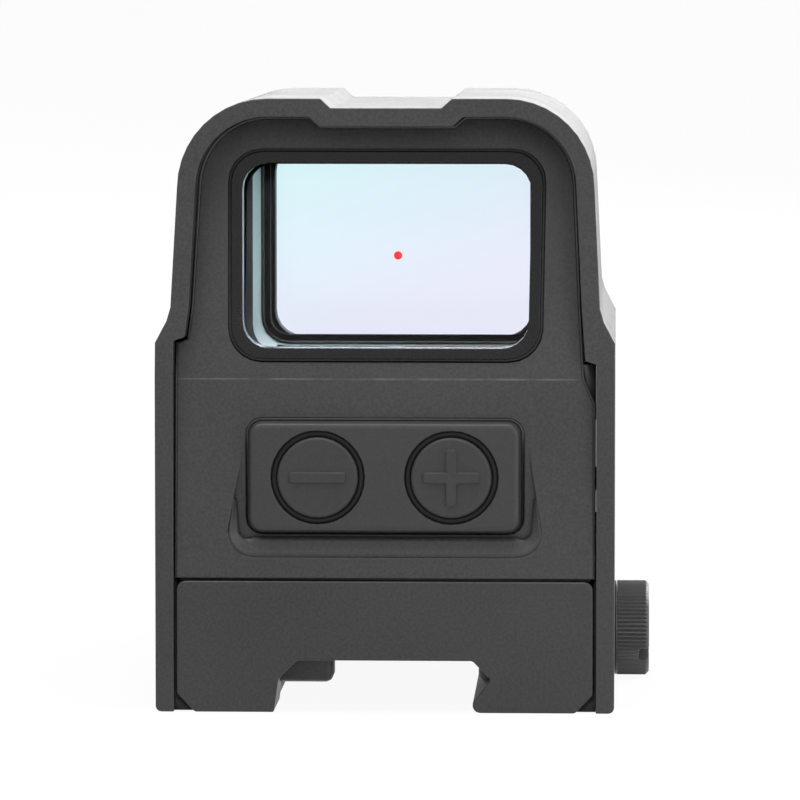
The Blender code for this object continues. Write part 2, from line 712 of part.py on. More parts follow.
def make_lens():
    """The reflector lens and the cell that holds it in the tunnel."""
    face = CELL_CENTRE - CELL_DEPTH / 2
    back = CELL_CENTRE + CELL_DEPTH / 2
    lens_rim = CELL_RIM - CELL_LEDGE
    cell = prism("lens_cell", PARTS, "XZ", [cell_outline(0), cell_outline(CELL_RIM)], face, back)
    seat_loop = cell_outline(lens_rim)
    seat = prism("lens_seat", CUTTERS, "XZ", [seat_loop], back - LENS_DEPTH - FIT_GAP, back + FIT_GAP)
    cut(cell, seat)
    prism("reflector_lens", PARTS, "XZ", [cell_outline(lens_rim + FIT_GAP)], back - LENS_DEPTH, back)


# Buttons


def button_place(side):
    return side * BUTTON_SPACING / 2, PLINTH_CENTRE_HEIGHT


def plinth_outline(grow):
    half = PLINTH_WIDTH / 2 + grow
    low = PLINTH_CENTRE_HEIGHT - PLINTH_HEIGHT / 2 - grow
    high = PLINTH_CENTRE_HEIGHT + PLINTH_HEIGHT / 2 + grow
    return rounded_outline(-half, half, low, high, PLINTH_CORNER + grow, 4)


def make_plinth():
    """The raised bezel round both buttons, with a bevelled rim and a stepped bore for each button."""
    back = PLINTH_FACE + PLINTH_DEPTH
    plinth = prism("button_plinth", PARTS, "XZ", [plinth_outline(0)], PLINTH_FACE, back)
    bevel(plinth, PLINTH_BEVEL)
    hole = BUTTON_DIAMETER / 2 + BUTTON_RING
    flange = BUTTON_DIAMETER / 2 + BUTTON_RING + BUTTON_FLANGE + FIT_GAP
    step = PLINTH_DEPTH - 2 * FIT_GAP - BUTTON_FLANGE_DEPTH
    for side, name in ((-1, "minus"), (1, "plus")):
        x, z = button_place(side)
        profile = [
            (0, PLINTH_DEPTH + FIT_GAP),
            (flange, PLINTH_DEPTH + FIT_GAP),
            (flange, step),
            (hole, step),
            (hole, -FIT_GAP),
            (0, -FIT_GAP),
        ]
        way = turned(f"{name}_way", CUTTERS, profile, (x, PLINTH_FACE, z), ALONG_Y)
        cut(plinth, way)
    pocket = prism("keypad_pocket", CUTTERS, "XZ", [plinth_outline(FIT_GAP)], 2 * REAR, KEYPAD_FLOOR)
    cut(HOUSING, pocket)


def make_recess():
    """The shallow recess round the plinth: wider and deeper towards its foot."""
    top = PLINTH_CENTRE_HEIGHT + PLINTH_HEIGHT / 2
    foot = RECESS_FOOT_WIDTH / 2
    corner = (foot - RECESS_FOOT_ROUND, RECESS_FOOT_HEIGHT + RECESS_FOOT_ROUND)
    half = arc(corner, RECESS_FOOT_ROUND, -90, 0, 4) + [(RECESS_TOP_WIDTH / 2, top)]
    recess = prism("recess", CUTTERS, "XZ", [two_sided(half, half)], 2 * REAR, 0)
    rear = REAR + REAR_TUCK
    wedge_loop = [
        (2 * REAR, RECESS_FOOT_HEIGHT - FIT_GAP),
        (rear + RECESS_DEPTH, RECESS_FOOT_HEIGHT - FIT_GAP),
        (rear + CREASE_LEAN / 2, top + FIT_GAP),
        (2 * REAR, top + FIT_GAP),
    ]
    wedge = prism("recess_wedge", CUTTERS, "YZ", [wedge_loop], -BODY_WIDTH, BODY_WIDTH)
    boolean(recess, wedge, "INTERSECT")
    cut(HOUSING, recess)


def make_button(side, name):
    """A push button with a flange behind the plinth and a raised mark on its face."""
    x, z = button_place(side)
    radius = BUTTON_DIAMETER / 2
    flange = radius + BUTTON_RING + BUTTON_FLANGE
    face = PLINTH_FACE - BUTTON_PROUD
    profile = [
        (0, BUTTON_BACK),
        (flange, BUTTON_BACK),
        (flange, BUTTON_BACK - BUTTON_FLANGE_DEPTH),
        (radius, BUTTON_BACK - BUTTON_FLANGE_DEPTH),
        (radius, face + BUTTON_PROUD),
        (radius - BUTTON_PROUD, face),
        (0, face),
    ]
    button = turned(f"{name}_button", PARTS, profile, (x, 0, z), ALONG_Y)
    half_length = MARK_LENGTH / 2
    half_width = MARK_WIDTH / 2
    spans = [(half_length, half_width)]
    if side > 0:
        spans.append((half_width, half_length))
    for index, (across, up) in enumerate(spans):
        loop = rounded_outline(x - across, x + across, z - up, z + up, half_width / 2, 3)
        mark = prism(f"{name}_mark_{index}", CUTTERS, "XZ", [loop], face - MARK_HEIGHT, face + BUTTON_PROUD)
        boolean(button, mark, "UNION")
    half = SWITCH_SIDE / 2
    box = ((x - half, x + half), (SWITCH_FACE, SWITCH_BACK), (z - half, z + half))
    block(f"{name}_switch", PARTS, *box)


def make_keypad():
    make_recess()
    make_plinth()
    make_button(-1, "minus")
    make_button(1, "plus")
    prism("switch_board", PARTS, "XZ", [plinth_outline(0)], BOARD_FACE, BOARD_FACE + BOARD_DEPTH)


make_rear_window()
make_front_window()
make_lens()
make_keypad()


# Emitter and adjusters


def make_emitter():
    """The windage sled, the emitter block that rides on it, and the diode that faces the lens."""
    half = SLED_WIDTH / 2
    sled_y = (SLED_REAR, SLED_REAR + SLED_DEPTH)
    sled = block("windage_sled", PARTS, (-half, half), sled_y, (SLED_FLOOR, SLED_FLOOR + SLED_HEIGHT))
    y, z = WINDAGE_AXIS
    bore = rod(
        "sled_bore",
        CUTTERS,
        ADJUSTER_SHAFT / 2 + FIT_GAP,
        SLED_WIDTH + 2 * FIT_GAP,
        (-half - FIT_GAP, y, z),
        ALONG_X,
        SMALL_STEPS,
    )
    cut(sled, bore)
    half = EMITTER_WIDTH / 2
    emitter_y = (EMITTER_REAR, EMITTER_REAR + EMITTER_DEPTH)
    block("emitter_block", PARTS, (-half, half), emitter_y, (EMITTER_FLOOR, EMITTER_TOP))
    half = DIODE_SIZE / 2
    diode_y = (DIODE_REAR, DIODE_REAR + DIODE_DEPTH)
    block("emitter_diode", PARTS, (-half, half), diode_y, (EMITTER_TOP - DIODE_SIZE, EMITTER_TOP))


def make_adjuster(name, axis, inner_end):
    """A slotted adjuster that turns in the housing's right wall, its seal, and its ways in."""
    y, z = axis
    shaft = ADJUSTER_SHAFT / 2
    head = ADJUSTER_HEAD / 2
    outer = BODY_HALF - ADJUSTER_RECESS
    shoulder = outer - ADJUSTER_HEAD_DEPTH
    seal_back = shoulder - 2 * FIT_GAP - SEAL_DEPTH
    profile = [
        (0, outer),
        (head, outer),
        (head, shoulder),
        (shaft, shoulder),
        (shaft, inner_end),
        (0, inner_end),
    ]
    screw = turned(f"{name}_screw", PARTS, profile, (0, y, z), ALONG_X, SMALL_STEPS)
    slot = block(
        f"{name}_slot",
        CUTTERS,
        (outer - ADJUSTER_SLOT_DEPTH, outer + FIT_GAP),
        (y - head - FIT_GAP, y + head + FIT_GAP),
        (z - ADJUSTER_SLOT / 2, z + ADJUSTER_SLOT / 2),
    )
    cut(screw, slot)
    seal_x = shoulder - FIT_GAP - SEAL_DEPTH
    seal_profile = [
        (head, SEAL_DEPTH),
        (head, 0),
        (shaft + FIT_GAP, 0),
        (shaft + FIT_GAP, SEAL_DEPTH),
    ]
    turned(f"{name}_seal", PARTS, seal_profile, (seal_x, y, z), ALONG_X, SMALL_STEPS, closed=True)
    way_profile = [
        (0, BODY_WIDTH),
        (head + FIT_GAP, BODY_WIDTH),
        (head + FIT_GAP, seal_back),
        (shaft + FIT_GAP, seal_back),
        (shaft + FIT_GAP, TRENCH_HALF - FIT_GAP),
        (0, TRENCH_HALF - FIT_GAP),
    ]
    way = turned(f"{name}_way", CUTTERS, way_profile, (0, y, z), ALONG_X, SMALL_STEPS)
    cut(HOUSING, way)
    access = rod(f"{name}_access", CUTTERS, head, BODY_WIDTH, (BODY_HALF, y, z), ALONG_X, SMALL_STEPS)
    cut(HOOD, access)
    return screw


def make_adjusters():
    make_adjuster("windage", WINDAGE_AXIS, -SLED_WIDTH / 2)
    elevation = make_adjuster("elevation", ELEVATION_AXIS, -CAM_LENGTH / 2 - FIT_GAP)
    y, z = ELEVATION_AXIS
    start = (-CAM_LENGTH / 2, y + CAM_OFFSET, z)
    cam = rod("cam", CUTTERS, CAM_DIAMETER / 2, CAM_LENGTH, start, ALONG_X, SMALL_STEPS)
    boolean(elevation, cam, "UNION")


# Battery and boards


def make_battery():
    """A 17 mm cell across the front block, its contact plate, screw cap and seal ring."""
    radius = BATTERY_DIAMETER / 2
    nip = BATTERY_NIP_DIAMETER / 2
    origin = (0, BATTERY_Y, BATTERY_Z)
    nip_face = BATTERY_END - BATTERY_NIP_LENGTH
    profile = [
        (0, BATTERY_END),
        (nip, BATTERY_END),
        (nip, nip_face),
        (radius, nip_face),
        (radius, BATTERY_START),
        (0, BATTERY_START),
    ]
    turned("battery", PARTS, profile, origin, ALONG_X)
    way = rod(
        "battery_way",
        CUTTERS,
        BATTERY_BORE,
        BORE_END + BODY_WIDTH,
        (-BODY_WIDTH, BATTERY_Y, BATTERY_Z),
        ALONG_X,
    )
    cut(HOUSING, way)
    contact_x = BATTERY_END + FIT_GAP
    contact = (contact_x, BATTERY_Y, BATTERY_Z)
    rod("battery_contact", PARTS, CONTACT_WIDTH / 2, CONTACT_DEPTH, contact, ALONG_X, SMALL_STEPS)

    plug = radius
    ring = CAP_RING / 2
    ring_middle = BATTERY_BORE - ring - FIT_GAP / 2
    groove = ring_middle - ring - FIT_GAP
    groove_start = CAP_FACE + CAP_RING_INSET
    groove_end = groove_start + CAP_RING + 2 * FIT_GAP
    rim = CAP_DIAMETER / 2
    outer = CAP_FACE - CAP_FLANGE_DEPTH
    profile = [
        (0, PLUG_END),
        (plug, PLUG_END),
        (plug, groove_end),
        (groove, groove_end),
        (groove, groove_start),
        (plug, groove_start),
        (plug, CAP_FACE),
        (rim, CAP_FACE),
        (rim, outer + CAP_COIN_DEPTH / 2),
        (rim - CAP_COIN_DEPTH / 2, outer),
        (0, outer),
    ]
    cap = turned("battery_cap", PARTS, profile, origin, ALONG_X)
    coin_slot = block(
        "coin_slot",
        CUTTERS,
        (outer - FIT_GAP, outer + CAP_COIN_DEPTH),
        (BATTERY_Y - rim, BATTERY_Y + rim),
        (BATTERY_Z - CAP_COIN_SLOT / 2, BATTERY_Z + CAP_COIN_SLOT / 2),
    )
    cut(cap, coin_slot)
    ring_x = (groove_start + groove_end) / 2
    loop = [(ring_middle + u, v) for u, v in arc((0, 0), ring, 0, -315, 7)]
    turned("cap_seal", PARTS, loop, (ring_x, BATTERY_Y, BATTERY_Z), ALONG_X, closed=True)


def make_control_board():
    """The circuit board in the housing's floor, with one chip on it."""
    half = CONTROL_BOARD_WIDTH / 2
    ends = (BASE_SCREW_REAR + CONTROL_BOARD_CLEARANCE, BASE_SCREW_FRONT - CONTROL_BOARD_CLEARANCE)
    middle = sum(ends) / 2
    top = HOUSING_FLOOR + BOARD_DEPTH
    chip_top = top + CHIP_HEIGHT
    board = block("control_board", PARTS, (-half, half), ends, (HOUSING_FLOOR, top))
    chip_half = CHIP_SIDE / 2
    chip_y = (middle - chip_half, middle + chip_half)
    chip = block("chip", CUTTERS, (-chip_half, chip_half), chip_y, (top - FIT_GAP, chip_top))
    boolean(board, chip, "UNION")
    room = block(
        "board_room",
        CUTTERS,
        (-half - FIT_GAP, half + FIT_GAP),
        (ends[0] - FIT_GAP, ends[1] + FIT_GAP),
        (0, chip_top + FIT_GAP),
    )
    cut(HOUSING, room)


make_emitter()
make_adjusters()
make_battery()
make_control_board()


# Clamp


def stand_open(piece):
    """Moves a clamp piece from where it grips the rail to where the clamp stands open."""
    piece.matrix_world = Matrix.Translation((-JAW_TRAVEL, 0, 0)) @ piece.matrix_world


def make_jaw():
    """The sliding jaw: its slanted lower facet pulls the rail up against the seat."""
    section = [
        (-JAW_FACE_HALF, JAW_TOP),
        (-JAW_BACK, JAW_TOP),
        (-JAW_BACK, -BASE_DEPTH),
        *[(-u, v) for u, v in reversed(slot_lip())],
        (-SLOT_VERTEX_HALF, -SLOT_VERTEX_DEPTH),
        (-JAW_FACE_HALF, SLOT_CEILING_HALF - JAW_FACE_HALF),
    ]
    ends = (JAW_CENTRE - JAW_LENGTH / 2, JAW_CENTRE + JAW_LENGTH / 2)
    jaw = prism("clamp_jaw", PARTS, "XZ", [section], *ends)
    head_seat = -JAW_BACK + BOLT_HEAD_DEPTH + 2 * FIT_GAP
    profile = [
        (0, 0),
        (BOLT_DIAMETER / 2 + FIT_GAP, 0),
        (BOLT_DIAMETER / 2 + FIT_GAP, head_seat),
        (BOLT_HEAD / 2 + FIT_GAP, head_seat),
        (BOLT_HEAD / 2 + FIT_GAP, -BODY_WIDTH),
        (0, -BODY_WIDTH),
    ]
    way = turned("jaw_bolt_way", CUTTERS, profile, (0, JAW_CENTRE, BOLT_HEIGHT), ALONG_X, SMALL_STEPS)
    cut(jaw, way)
    for name, y in PIN_PLACES.items():
        start = (-JAW_BACK, y, PIN_HEIGHT)
        rod(f"{name}_guide_pin", PARTS, PIN_DIAMETER / 2, PIN_LENGTH, start, ALONG_X, SMALL_STEPS)
        pin_way = rod(
            f"{name}_jaw_bore",
            CUTTERS,
            PIN_DIAMETER / 2 + FIT_GAP,
            PIN_LENGTH + JAW_BACK,
            (-2 * JAW_BACK, y, PIN_HEIGHT),
            ALONG_X,
            SMALL_STEPS,
        )
        cut(jaw, pin_way)
    stand_open(jaw)


def make_bolt():
    radius = BOLT_DIAMETER / 2
    head = BOLT_HEAD / 2
    head_start = -JAW_BACK + FIT_GAP
    head_end = head_start + BOLT_HEAD_DEPTH
    profile = [
        (0, BOLT_END),
        (radius, BOLT_END),
        (radius, head_end),
        (head, head_end),
        (head, head_start),
        (0, head_start),
    ]
    bolt = turned("cross_bolt", PARTS, profile, (0, JAW_CENTRE, BOLT_HEIGHT), ALONG_X, SMALL_STEPS)
    stand_open(bolt)


def make_nut():
    """The knurled sleeve nut with a coin slot. Its sleeve runs through the hood into the base."""
    radius = NUT_DIAMETER / 2
    outer = NUT_FACE + NUT_DEPTH
    bore = BOLT_DIAMETER / 2 + FIT_GAP
    profile = [
        (0, outer),
        (radius - NUT_ROUND, outer),
        (radius, outer - NUT_ROUND),
        (radius, NUT_FACE),
        (NUT_SLEEVE / 2, NUT_FACE),
        (NUT_SLEEVE / 2, SLEEVE_END),
        (bore, SLEEVE_END),
        (bore, outer - NUT_CAP),
        (0, outer - NUT_CAP),
    ]
    nut = turned("clamp_nut", PARTS, profile, (0, JAW_CENTRE, BOLT_HEIGHT), ALONG_X)
    teeth = []
    for index in range(2 * NUT_FLUTES):
        turn = math.pi * index / NUT_FLUTES
        reach = radius - NUT_FLUTE_DEPTH * (index % 2)
        teeth.append((JAW_CENTRE + reach * math.cos(turn), BOLT_HEIGHT + reach * math.sin(turn)))
    knurl = prism("knurl", CUTTERS, "YZ", [teeth], 0, BODY_WIDTH)
    boolean(nut, knurl, "INTERSECT")
    slot = block(
        "nut_slot",
        CUTTERS,
        (outer - NUT_SLOT_DEPTH, outer + NUT_SLOT_DEPTH),
        (JAW_CENTRE - NUT_DIAMETER, JAW_CENTRE + NUT_DIAMETER),
        (BOLT_HEIGHT - NUT_SLOT / 2, BOLT_HEIGHT + NUT_SLOT / 2),
    )
    slot.rotation_euler = (math.radians(NUT_SLOT_ANGLE), 0, 0)
    cut(nut, slot)
    way_start = (BODY_HALF, JAW_CENTRE, BOLT_HEIGHT)
    way = rod("nut_way", CUTTERS, NUT_SLEEVE / 2 + FIT_GAP, BODY_WIDTH, way_start, ALONG_X, SMALL_STEPS)
    cut(HOOD, way)


# Screws


def screw_profile(head, head_depth, shank, length, grow, above):
    """Profile of a cap screw whose head starts at a height above zero and whose shank points down."""
    return [
        (0, above),
        (head / 2 + grow, above),
        (head / 2 + grow, -head_depth - grow),
        (shank / 2 + grow, -head_depth - grow),
        (shank / 2 + grow, -length - grow),
        (0, -length - grow),
    ]


def make_screw(name, size, origin, axis, holders):
    """One screw with a hexagon socket, and its way into the pieces that it holds."""
    screw = turned(name, PARTS, screw_profile(*size, 0, 0), origin, axis, SMALL_STEPS)
    socket_start = Matrix.Translation(origin) @ axis @ Vector((0, 0, -HEX_DEPTH))
    socket = rod(name + "_hex", CUTTERS, HEX_SIZE / 2, 2 * HEX_DEPTH, socket_start, axis, 6)
    cut(screw, socket)
    way_profile = screw_profile(*size, FIT_GAP, 2 * HEX_DEPTH)
    way = turned(name + "_way", CUTTERS, way_profile, origin, axis, SMALL_STEPS)
    for holder in holders:
        cut(holder, way)


def make_screws():
    places = (
        (REAR + HOOD_SCREW_REAR_INSET, HOOD_SCREW_HEIGHT),
        (JAW_CENTRE, HOOD_SCREW_HEIGHT + HOOD_SCREW_STEP),
        (HOOD_FRONT - HOOD_SCREW_FRONT_INSET, HOOD_SCREW_HEIGHT),
    )
    hood_size = (HOOD_SCREW_HEAD, HOOD_SCREW_HEAD_DEPTH, HOOD_SCREW_SHANK, HOOD_SCREW_LENGTH)
    for side, word in ((-1, "left"), (1, "right")):
        axis = Matrix.Rotation(side * math.pi / 2, 4, "Y")
        for number, (y, z) in enumerate(places, 1):
            origin = (side * HOOD_OUTER_HALF, y, z)
            make_screw(f"hood_screw_{word}_{number}", hood_size, origin, axis, (HOOD, HOUSING))
    base_size = (BASE_SCREW_HEAD, BASE_SCREW_HEAD_DEPTH, BASE_SCREW_SHANK, BASE_SCREW_LENGTH)
    head_down = Matrix.Rotation(math.pi, 4, "X")
    for y, end in ((BASE_SCREW_REAR, "rear"), (BASE_SCREW_FRONT, "front")):
        for side, word in ((-1, "left"), (1, "right")):
            origin = (side * BASE_SCREW_SIDE, y, FIT_GAP)
            make_screw(f"base_screw_{end}_{word}", base_size, origin, head_down, (BASE, HOUSING))


make_jaw()
make_bolt()
make_nut()
make_screws()


# Finishes, as linear colour, roughness and metallic value

FINISHES = {
    "anodised": ((0.060, 0.060, 0.063), 0.55, 0.5),
    "bezel": ((0.020, 0.020, 0.022), 0.45, 0.2),
    "rubber": ((0.050, 0.050, 0.052), 0.75, 0.0),
    "glass": ((0.86, 0.92, 0.94), 0.05, 0.0),
    "coated": ((0.70, 0.86, 0.88), 0.05, 0.1),
    "steel": ((0.055, 0.055, 0.057), 0.40, 0.9),
    "board": ((0.02, 0.12, 0.05), 0.50, 0.0),
    "plating": ((0.65, 0.52, 0.28), 0.35, 1.0),
    "cell": ((0.55, 0.56, 0.58), 0.35, 0.8),
    "red": ((0.80, 0.03, 0.02), 0.30, 0.0),
}
PIECE_FINISH = {
    "rear_bezel": "bezel",
    "front_bezel": "bezel",
    "lens_cell": "bezel",
    "rear_gasket": "rubber",
    "front_gasket": "rubber",
    "minus_button": "rubber",
    "plus_button": "rubber",
    "minus_switch": "plating",
    "plus_switch": "plating",
    "windage_seal": "rubber",
    "elevation_seal": "rubber",
    "cap_seal": "rubber",
    "rear_window": "glass",
    "front_window": "glass",
    "reflector_lens": "coated",
    "switch_board": "board",
    "control_board": "board",
    "battery": "cell",
    "battery_contact": "plating",
    "emitter_diode": "red",
}
STEEL_WORDS = ("screw", "bolt", "nut", "pin")
SMOOTH_ANGLE = 35.0


def finish_of(name):
    if name in PIECE_FINISH:
        return PIECE_FINISH[name]
    return "steel" if set(name.split("_")) & set(STEEL_WORDS) else "anodised"


def dress(obj):
    """Gives a piece its own material and shades its round faces smooth."""
    finish = finish_of(obj.name)
    colour, roughness, metallic = FINISHES[finish]
    material = bpy.data.materials.new(f"{obj.name}_{finish}")
    material.use_nodes = True
    shader = material.node_tree.nodes["Principled BSDF"]
    shader.inputs["Base Color"].default_value = (*colour, 1)
    shader.inputs["Roughness"].default_value = roughness
    shader.inputs["Metallic"].default_value = metallic
    obj.data.materials.clear()
    obj.data.materials.append(material)
    obj.data.shade_smooth()
    obj.data.set_sharp_from_angle(angle=math.radians(SMOOTH_ANGLE))


for piece in PARTS.objects:
    dress(piece)
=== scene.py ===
"""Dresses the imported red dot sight: finishes, rounded edges, glass, lit dot, floor, light and camera."""

import json
import math

import bmesh
import bpy
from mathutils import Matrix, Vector
from mathutils.bvhtree import BVHTree


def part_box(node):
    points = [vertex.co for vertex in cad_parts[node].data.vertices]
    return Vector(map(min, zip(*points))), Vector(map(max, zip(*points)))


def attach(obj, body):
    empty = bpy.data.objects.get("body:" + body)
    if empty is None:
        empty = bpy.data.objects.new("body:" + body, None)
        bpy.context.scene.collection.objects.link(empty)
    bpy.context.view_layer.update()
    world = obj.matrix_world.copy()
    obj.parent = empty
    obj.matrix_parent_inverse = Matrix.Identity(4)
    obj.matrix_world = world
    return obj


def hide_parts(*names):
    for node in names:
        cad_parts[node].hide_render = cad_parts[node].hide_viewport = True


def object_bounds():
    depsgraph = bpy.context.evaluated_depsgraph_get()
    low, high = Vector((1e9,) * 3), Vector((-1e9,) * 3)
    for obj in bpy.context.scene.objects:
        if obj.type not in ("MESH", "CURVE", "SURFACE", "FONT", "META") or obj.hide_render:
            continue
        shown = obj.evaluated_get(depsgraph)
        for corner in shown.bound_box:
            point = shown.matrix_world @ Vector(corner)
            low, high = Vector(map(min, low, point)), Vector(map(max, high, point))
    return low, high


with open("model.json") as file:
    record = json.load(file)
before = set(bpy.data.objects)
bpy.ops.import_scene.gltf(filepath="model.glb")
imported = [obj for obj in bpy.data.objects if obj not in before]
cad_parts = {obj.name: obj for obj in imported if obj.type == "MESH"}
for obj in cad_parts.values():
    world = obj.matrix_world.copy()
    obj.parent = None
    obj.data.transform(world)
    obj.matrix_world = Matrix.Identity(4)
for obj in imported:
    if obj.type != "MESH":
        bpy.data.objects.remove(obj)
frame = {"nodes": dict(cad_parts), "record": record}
CAD_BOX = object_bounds()
MM = 0.001


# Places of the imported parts

BASE_LOW, BASE_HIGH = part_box("mount_base")
HOUSING_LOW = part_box("main_housing")[0]
HOOD_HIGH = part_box("hood")[1]
BEZEL_LOW, BEZEL_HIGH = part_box("rear_bezel")
LENS_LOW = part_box("reflector_lens")[0]
PLINTH_LOW, PLINTH_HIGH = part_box("button_plinth")
NUT_LOW, NUT_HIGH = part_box("clamp_nut")
HEAD_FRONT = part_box("front_bezel")[1].y
BODY_OF = {}
for body, names in frame["record"]["behaviour"]["bodies"].items():
    for name in names:
        BODY_OF[name] = body


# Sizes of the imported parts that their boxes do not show

# Height of the bend between the lower body and the leaning window face
CREASE = 29.65 * MM
LEAN = math.radians(13.6)
REAR_WAY = Vector((0.0, -math.cos(LEAN), math.sin(LEAN)))
# How far the rear face of the lower body leans forward per unit of height
FACE_SLOPE = 0.0668
HOOD_WALL = 1.95 * MM
PLATE_INNER = HOOD_HIGH.x - HOOD_WALL
BASE_CHAMFER = 1.9 * MM
PLINTH_ROUND = 1.4 * MM
RECESS_FOOT = 10.9 * MM
RECESS_HALF = 16.5 * MM
RECESS_TOP_HALF = 14.6 * MM
RECESS_ROUND = 2.6 * MM
# Depth of the keypad recess at its deepest height, and how far its floor comes out per unit of height
RECESS_DEPTH = 1.6 * MM
RECESS_DEEPEST = 10.6 * MM
RECESS_FLOOR_SLOPE = 0.0602
NUT_GAP = 0.3 * MM


# Node helpers


def new_material(name):
    """An empty node material and its tree."""
    material = bpy.data.materials.new(name)
    material.use_nodes = True
    material.node_tree.nodes.clear()
    return material, material.node_tree


def add(tree, kind, **settings):
    """A new node with its settings."""
    node = tree.nodes.new(kind)
    for key, value in settings.items():
        setattr(node, key, value)
    return node


def feed(tree, source, target):
    """Links an output to an input."""
    tree.links.new(source, target)


def principled(name):
    """A material with one surface shader, and the coordinates for its textures."""
    material, tree = new_material(name)
    out = add(tree, "ShaderNodeOutputMaterial")
    shader = add(tree, "ShaderNodeBsdfPrincipled")
    feed(tree, shader.outputs["BSDF"], out.inputs["Surface"])
    place = add(tree, "ShaderNodeTexCoord").outputs["Object"]
    return material, tree, shader, place


def noise(tree, place, scale, detail=2.0, rough=0.5):
    """The value of a noise texture."""
    node = add(tree, "ShaderNodeTexNoise")
    node.inputs["Scale"].default_value = scale
    node.inputs["Detail"].default_value = detail
    node.inputs["Roughness"].default_value = rough
    feed(tree, place, node.inputs["Vector"])
    return node.outputs["Fac"]


def spread(tree, value, low, high, start=0.3, end=0.7):
    """A value carried from the range between start and end to that between low and high."""
    node = add(tree, "ShaderNodeMapRange")
    node.inputs["From Min"].default_value = start
    node.inputs["From Max"].default_value = end
    node.inputs["To Min"].default_value = low
    node.inputs["To Max"].default_value = high
    feed(tree, value, node.inputs["Value"])
    return node.outputs["Result"]


def combine(tree, operation, first, second):
    """Two values added or multiplied."""
    node = add(tree, "ShaderNodeMath", operation=operation)
    feed(tree, first, node.inputs[0])
    feed(tree, second, node.inputs[1])
    return node.outputs[0]


def ramp(tree, value, dark, light):
    """A colour between two others."""
    node = add(tree, "ShaderNodeValToRGB")
    node.color_ramp.elements[0].position = 0.0
    node.color_ramp.elements[0].color = (*dark, 1.0)
    node.color_ramp.elements[1].position = 1.0
    node.color_ramp.elements[1].color = (*light, 1.0)
    feed(tree, value, node.inputs["Fac"])
    return node.outputs["Color"]


def seen_directly(tree):
    """One for rays of the camera, of reflections and through glass, and nought for the rest."""
    rays = add(tree, "ShaderNodeLightPath")
    seen = combine(tree, "ADD", rays.outputs["Is Camera Ray"], rays.outputs["Is Glossy Ray"])
    return combine(tree, "ADD", seen, rays.outputs["Is Transmission Ray"])


# Finishes

FINE_SHARE = 0.68
# Core share and rear fade of the painted highlight along the bend
LINE_CORE = 0.3
LINE_FADE = 0.2 * MM
TINT_SLOPE = (-22.0, 0.0, 62.0)
TINT_START = 2.15
TINT_END = 3.55
PANE_IOR = 1.18
PANE_ROUGH = 0.012
MATTE_SPECULAR = 0.42


def grey(value):
    """A neutral colour."""
    return (value, value, value)


def painted_crease_highlight(tree, place, colour, level, half, behind, highlight):
    """Mixes a painted highlight, a paler broken line, into a colour where the rear face bends at one height.
    """
    axes = add(tree, "ShaderNodeSeparateXYZ")
    feed(tree, place, axes.inputs["Vector"])
    away = add(tree, "ShaderNodeMath", operation="SUBTRACT")
    feed(tree, axes.outputs["Z"], away.inputs[0])
    away.inputs[1].default_value = level
    size = add(tree, "ShaderNodeMath", operation="ABSOLUTE")
    feed(tree, away.outputs[0], size.inputs[0])
    near = spread(tree, size.outputs[0], 1.0, 0.0, start=LINE_CORE * half, end=half)
    rear = spread(tree, axes.outputs["Y"], 1.0, 0.0, start=behind - LINE_FADE, end=behind)
    patches = noise(tree, place, scale=420.0, detail=3.0)
    broken = spread(tree, patches, 0.15, 1.0, start=0.35, end=0.62)
    share = combine(tree, "MULTIPLY", combine(tree, "MULTIPLY", near, rear), broken)
    mix = add(tree, "ShaderNodeMix", data_type="RGBA")
    feed(tree, share, mix.inputs["Factor"])
    feed(tree, colour, mix.inputs["A"])
    mix.inputs["B"].default_value = (*highlight, 1.0)
    return mix.outputs["Result"]


def finish_surface(
    name, dark, light, grain, cloud, rough, bump, height, metallic=0.0, specular=0.5, stretch=None, line=None
):
    """A dyed or moulded surface: fine grain, soft cloudy drift, uneven gloss and a small relief."""
    material, tree, shader, place = principled(name)
    grained = place
    if stretch:
        mapping = add(tree, "ShaderNodeMapping")
        mapping.inputs["Scale"].default_value = stretch
        feed(tree, place, mapping.inputs["Vector"])
        grained = mapping.outputs["Vector"]
    fine = noise(tree, grained, grain, detail=3.0, rough=0.6)
    soft = noise(tree, place, cloud, detail=4.0, rough=0.55)
    speckle = spread(tree, fine, 0.0, FINE_SHARE, start=0.36, end=0.64)
    drift = spread(tree, soft, 0.0, 1.0 - FINE_SHARE)
    colour = ramp(tree, combine(tree, "ADD", speckle, drift), dark, light)
    # Where asked, a painted highlight along the bend of the rear face
    if line:
        colour = painted_crease_highlight(tree, place, colour, **line)
    feed(tree, colour, shader.inputs["Base Color"])
    gloss = combine(tree, "ADD", spread(tree, fine, *rough), spread(tree, soft, -0.04, 0.04))
    feed(tree, gloss, shader.inputs["Roughness"])
    shader.inputs["Metallic"].default_value = metallic
    shader.inputs["Specular IOR Level"].default_value = specular
    relief = add(tree, "ShaderNodeBump")
    relief.inputs["Strength"].default_value = bump
    relief.inputs["Distance"].default_value = height
    feed(tree, fine, relief.inputs["Height"])
    feed(tree, relief.outputs["Normal"], shader.inputs["Normal"])
    return material


def coated_pane(name, warm, cool):
    """A clear coated pane whose tint runs from one cool tone to the other across its face."""
    material, tree, shader, place = principled(name)
    along = add(tree, "ShaderNodeVectorMath", operation="DOT_PRODUCT")
    feed(tree, place, along.inputs[0])
    along.inputs[1].default_value = TINT_SLOPE
    shade = spread(tree, along.outputs["Value"], 0.0, 1.0, start=TINT_START, end=TINT_END)
    feed(tree, ramp(tree, shade, warm, cool), shader.inputs["Base Color"])
    soft = noise(tree, place, scale=160.0)
    feed(tree, spread(tree, soft, 0.0, PANE_ROUGH), shader.inputs["Roughness"])
    shader.inputs["Transmission Weight"].default_value = 1.0
    shader.inputs["IOR"].default_value = PANE_IOR
    return material


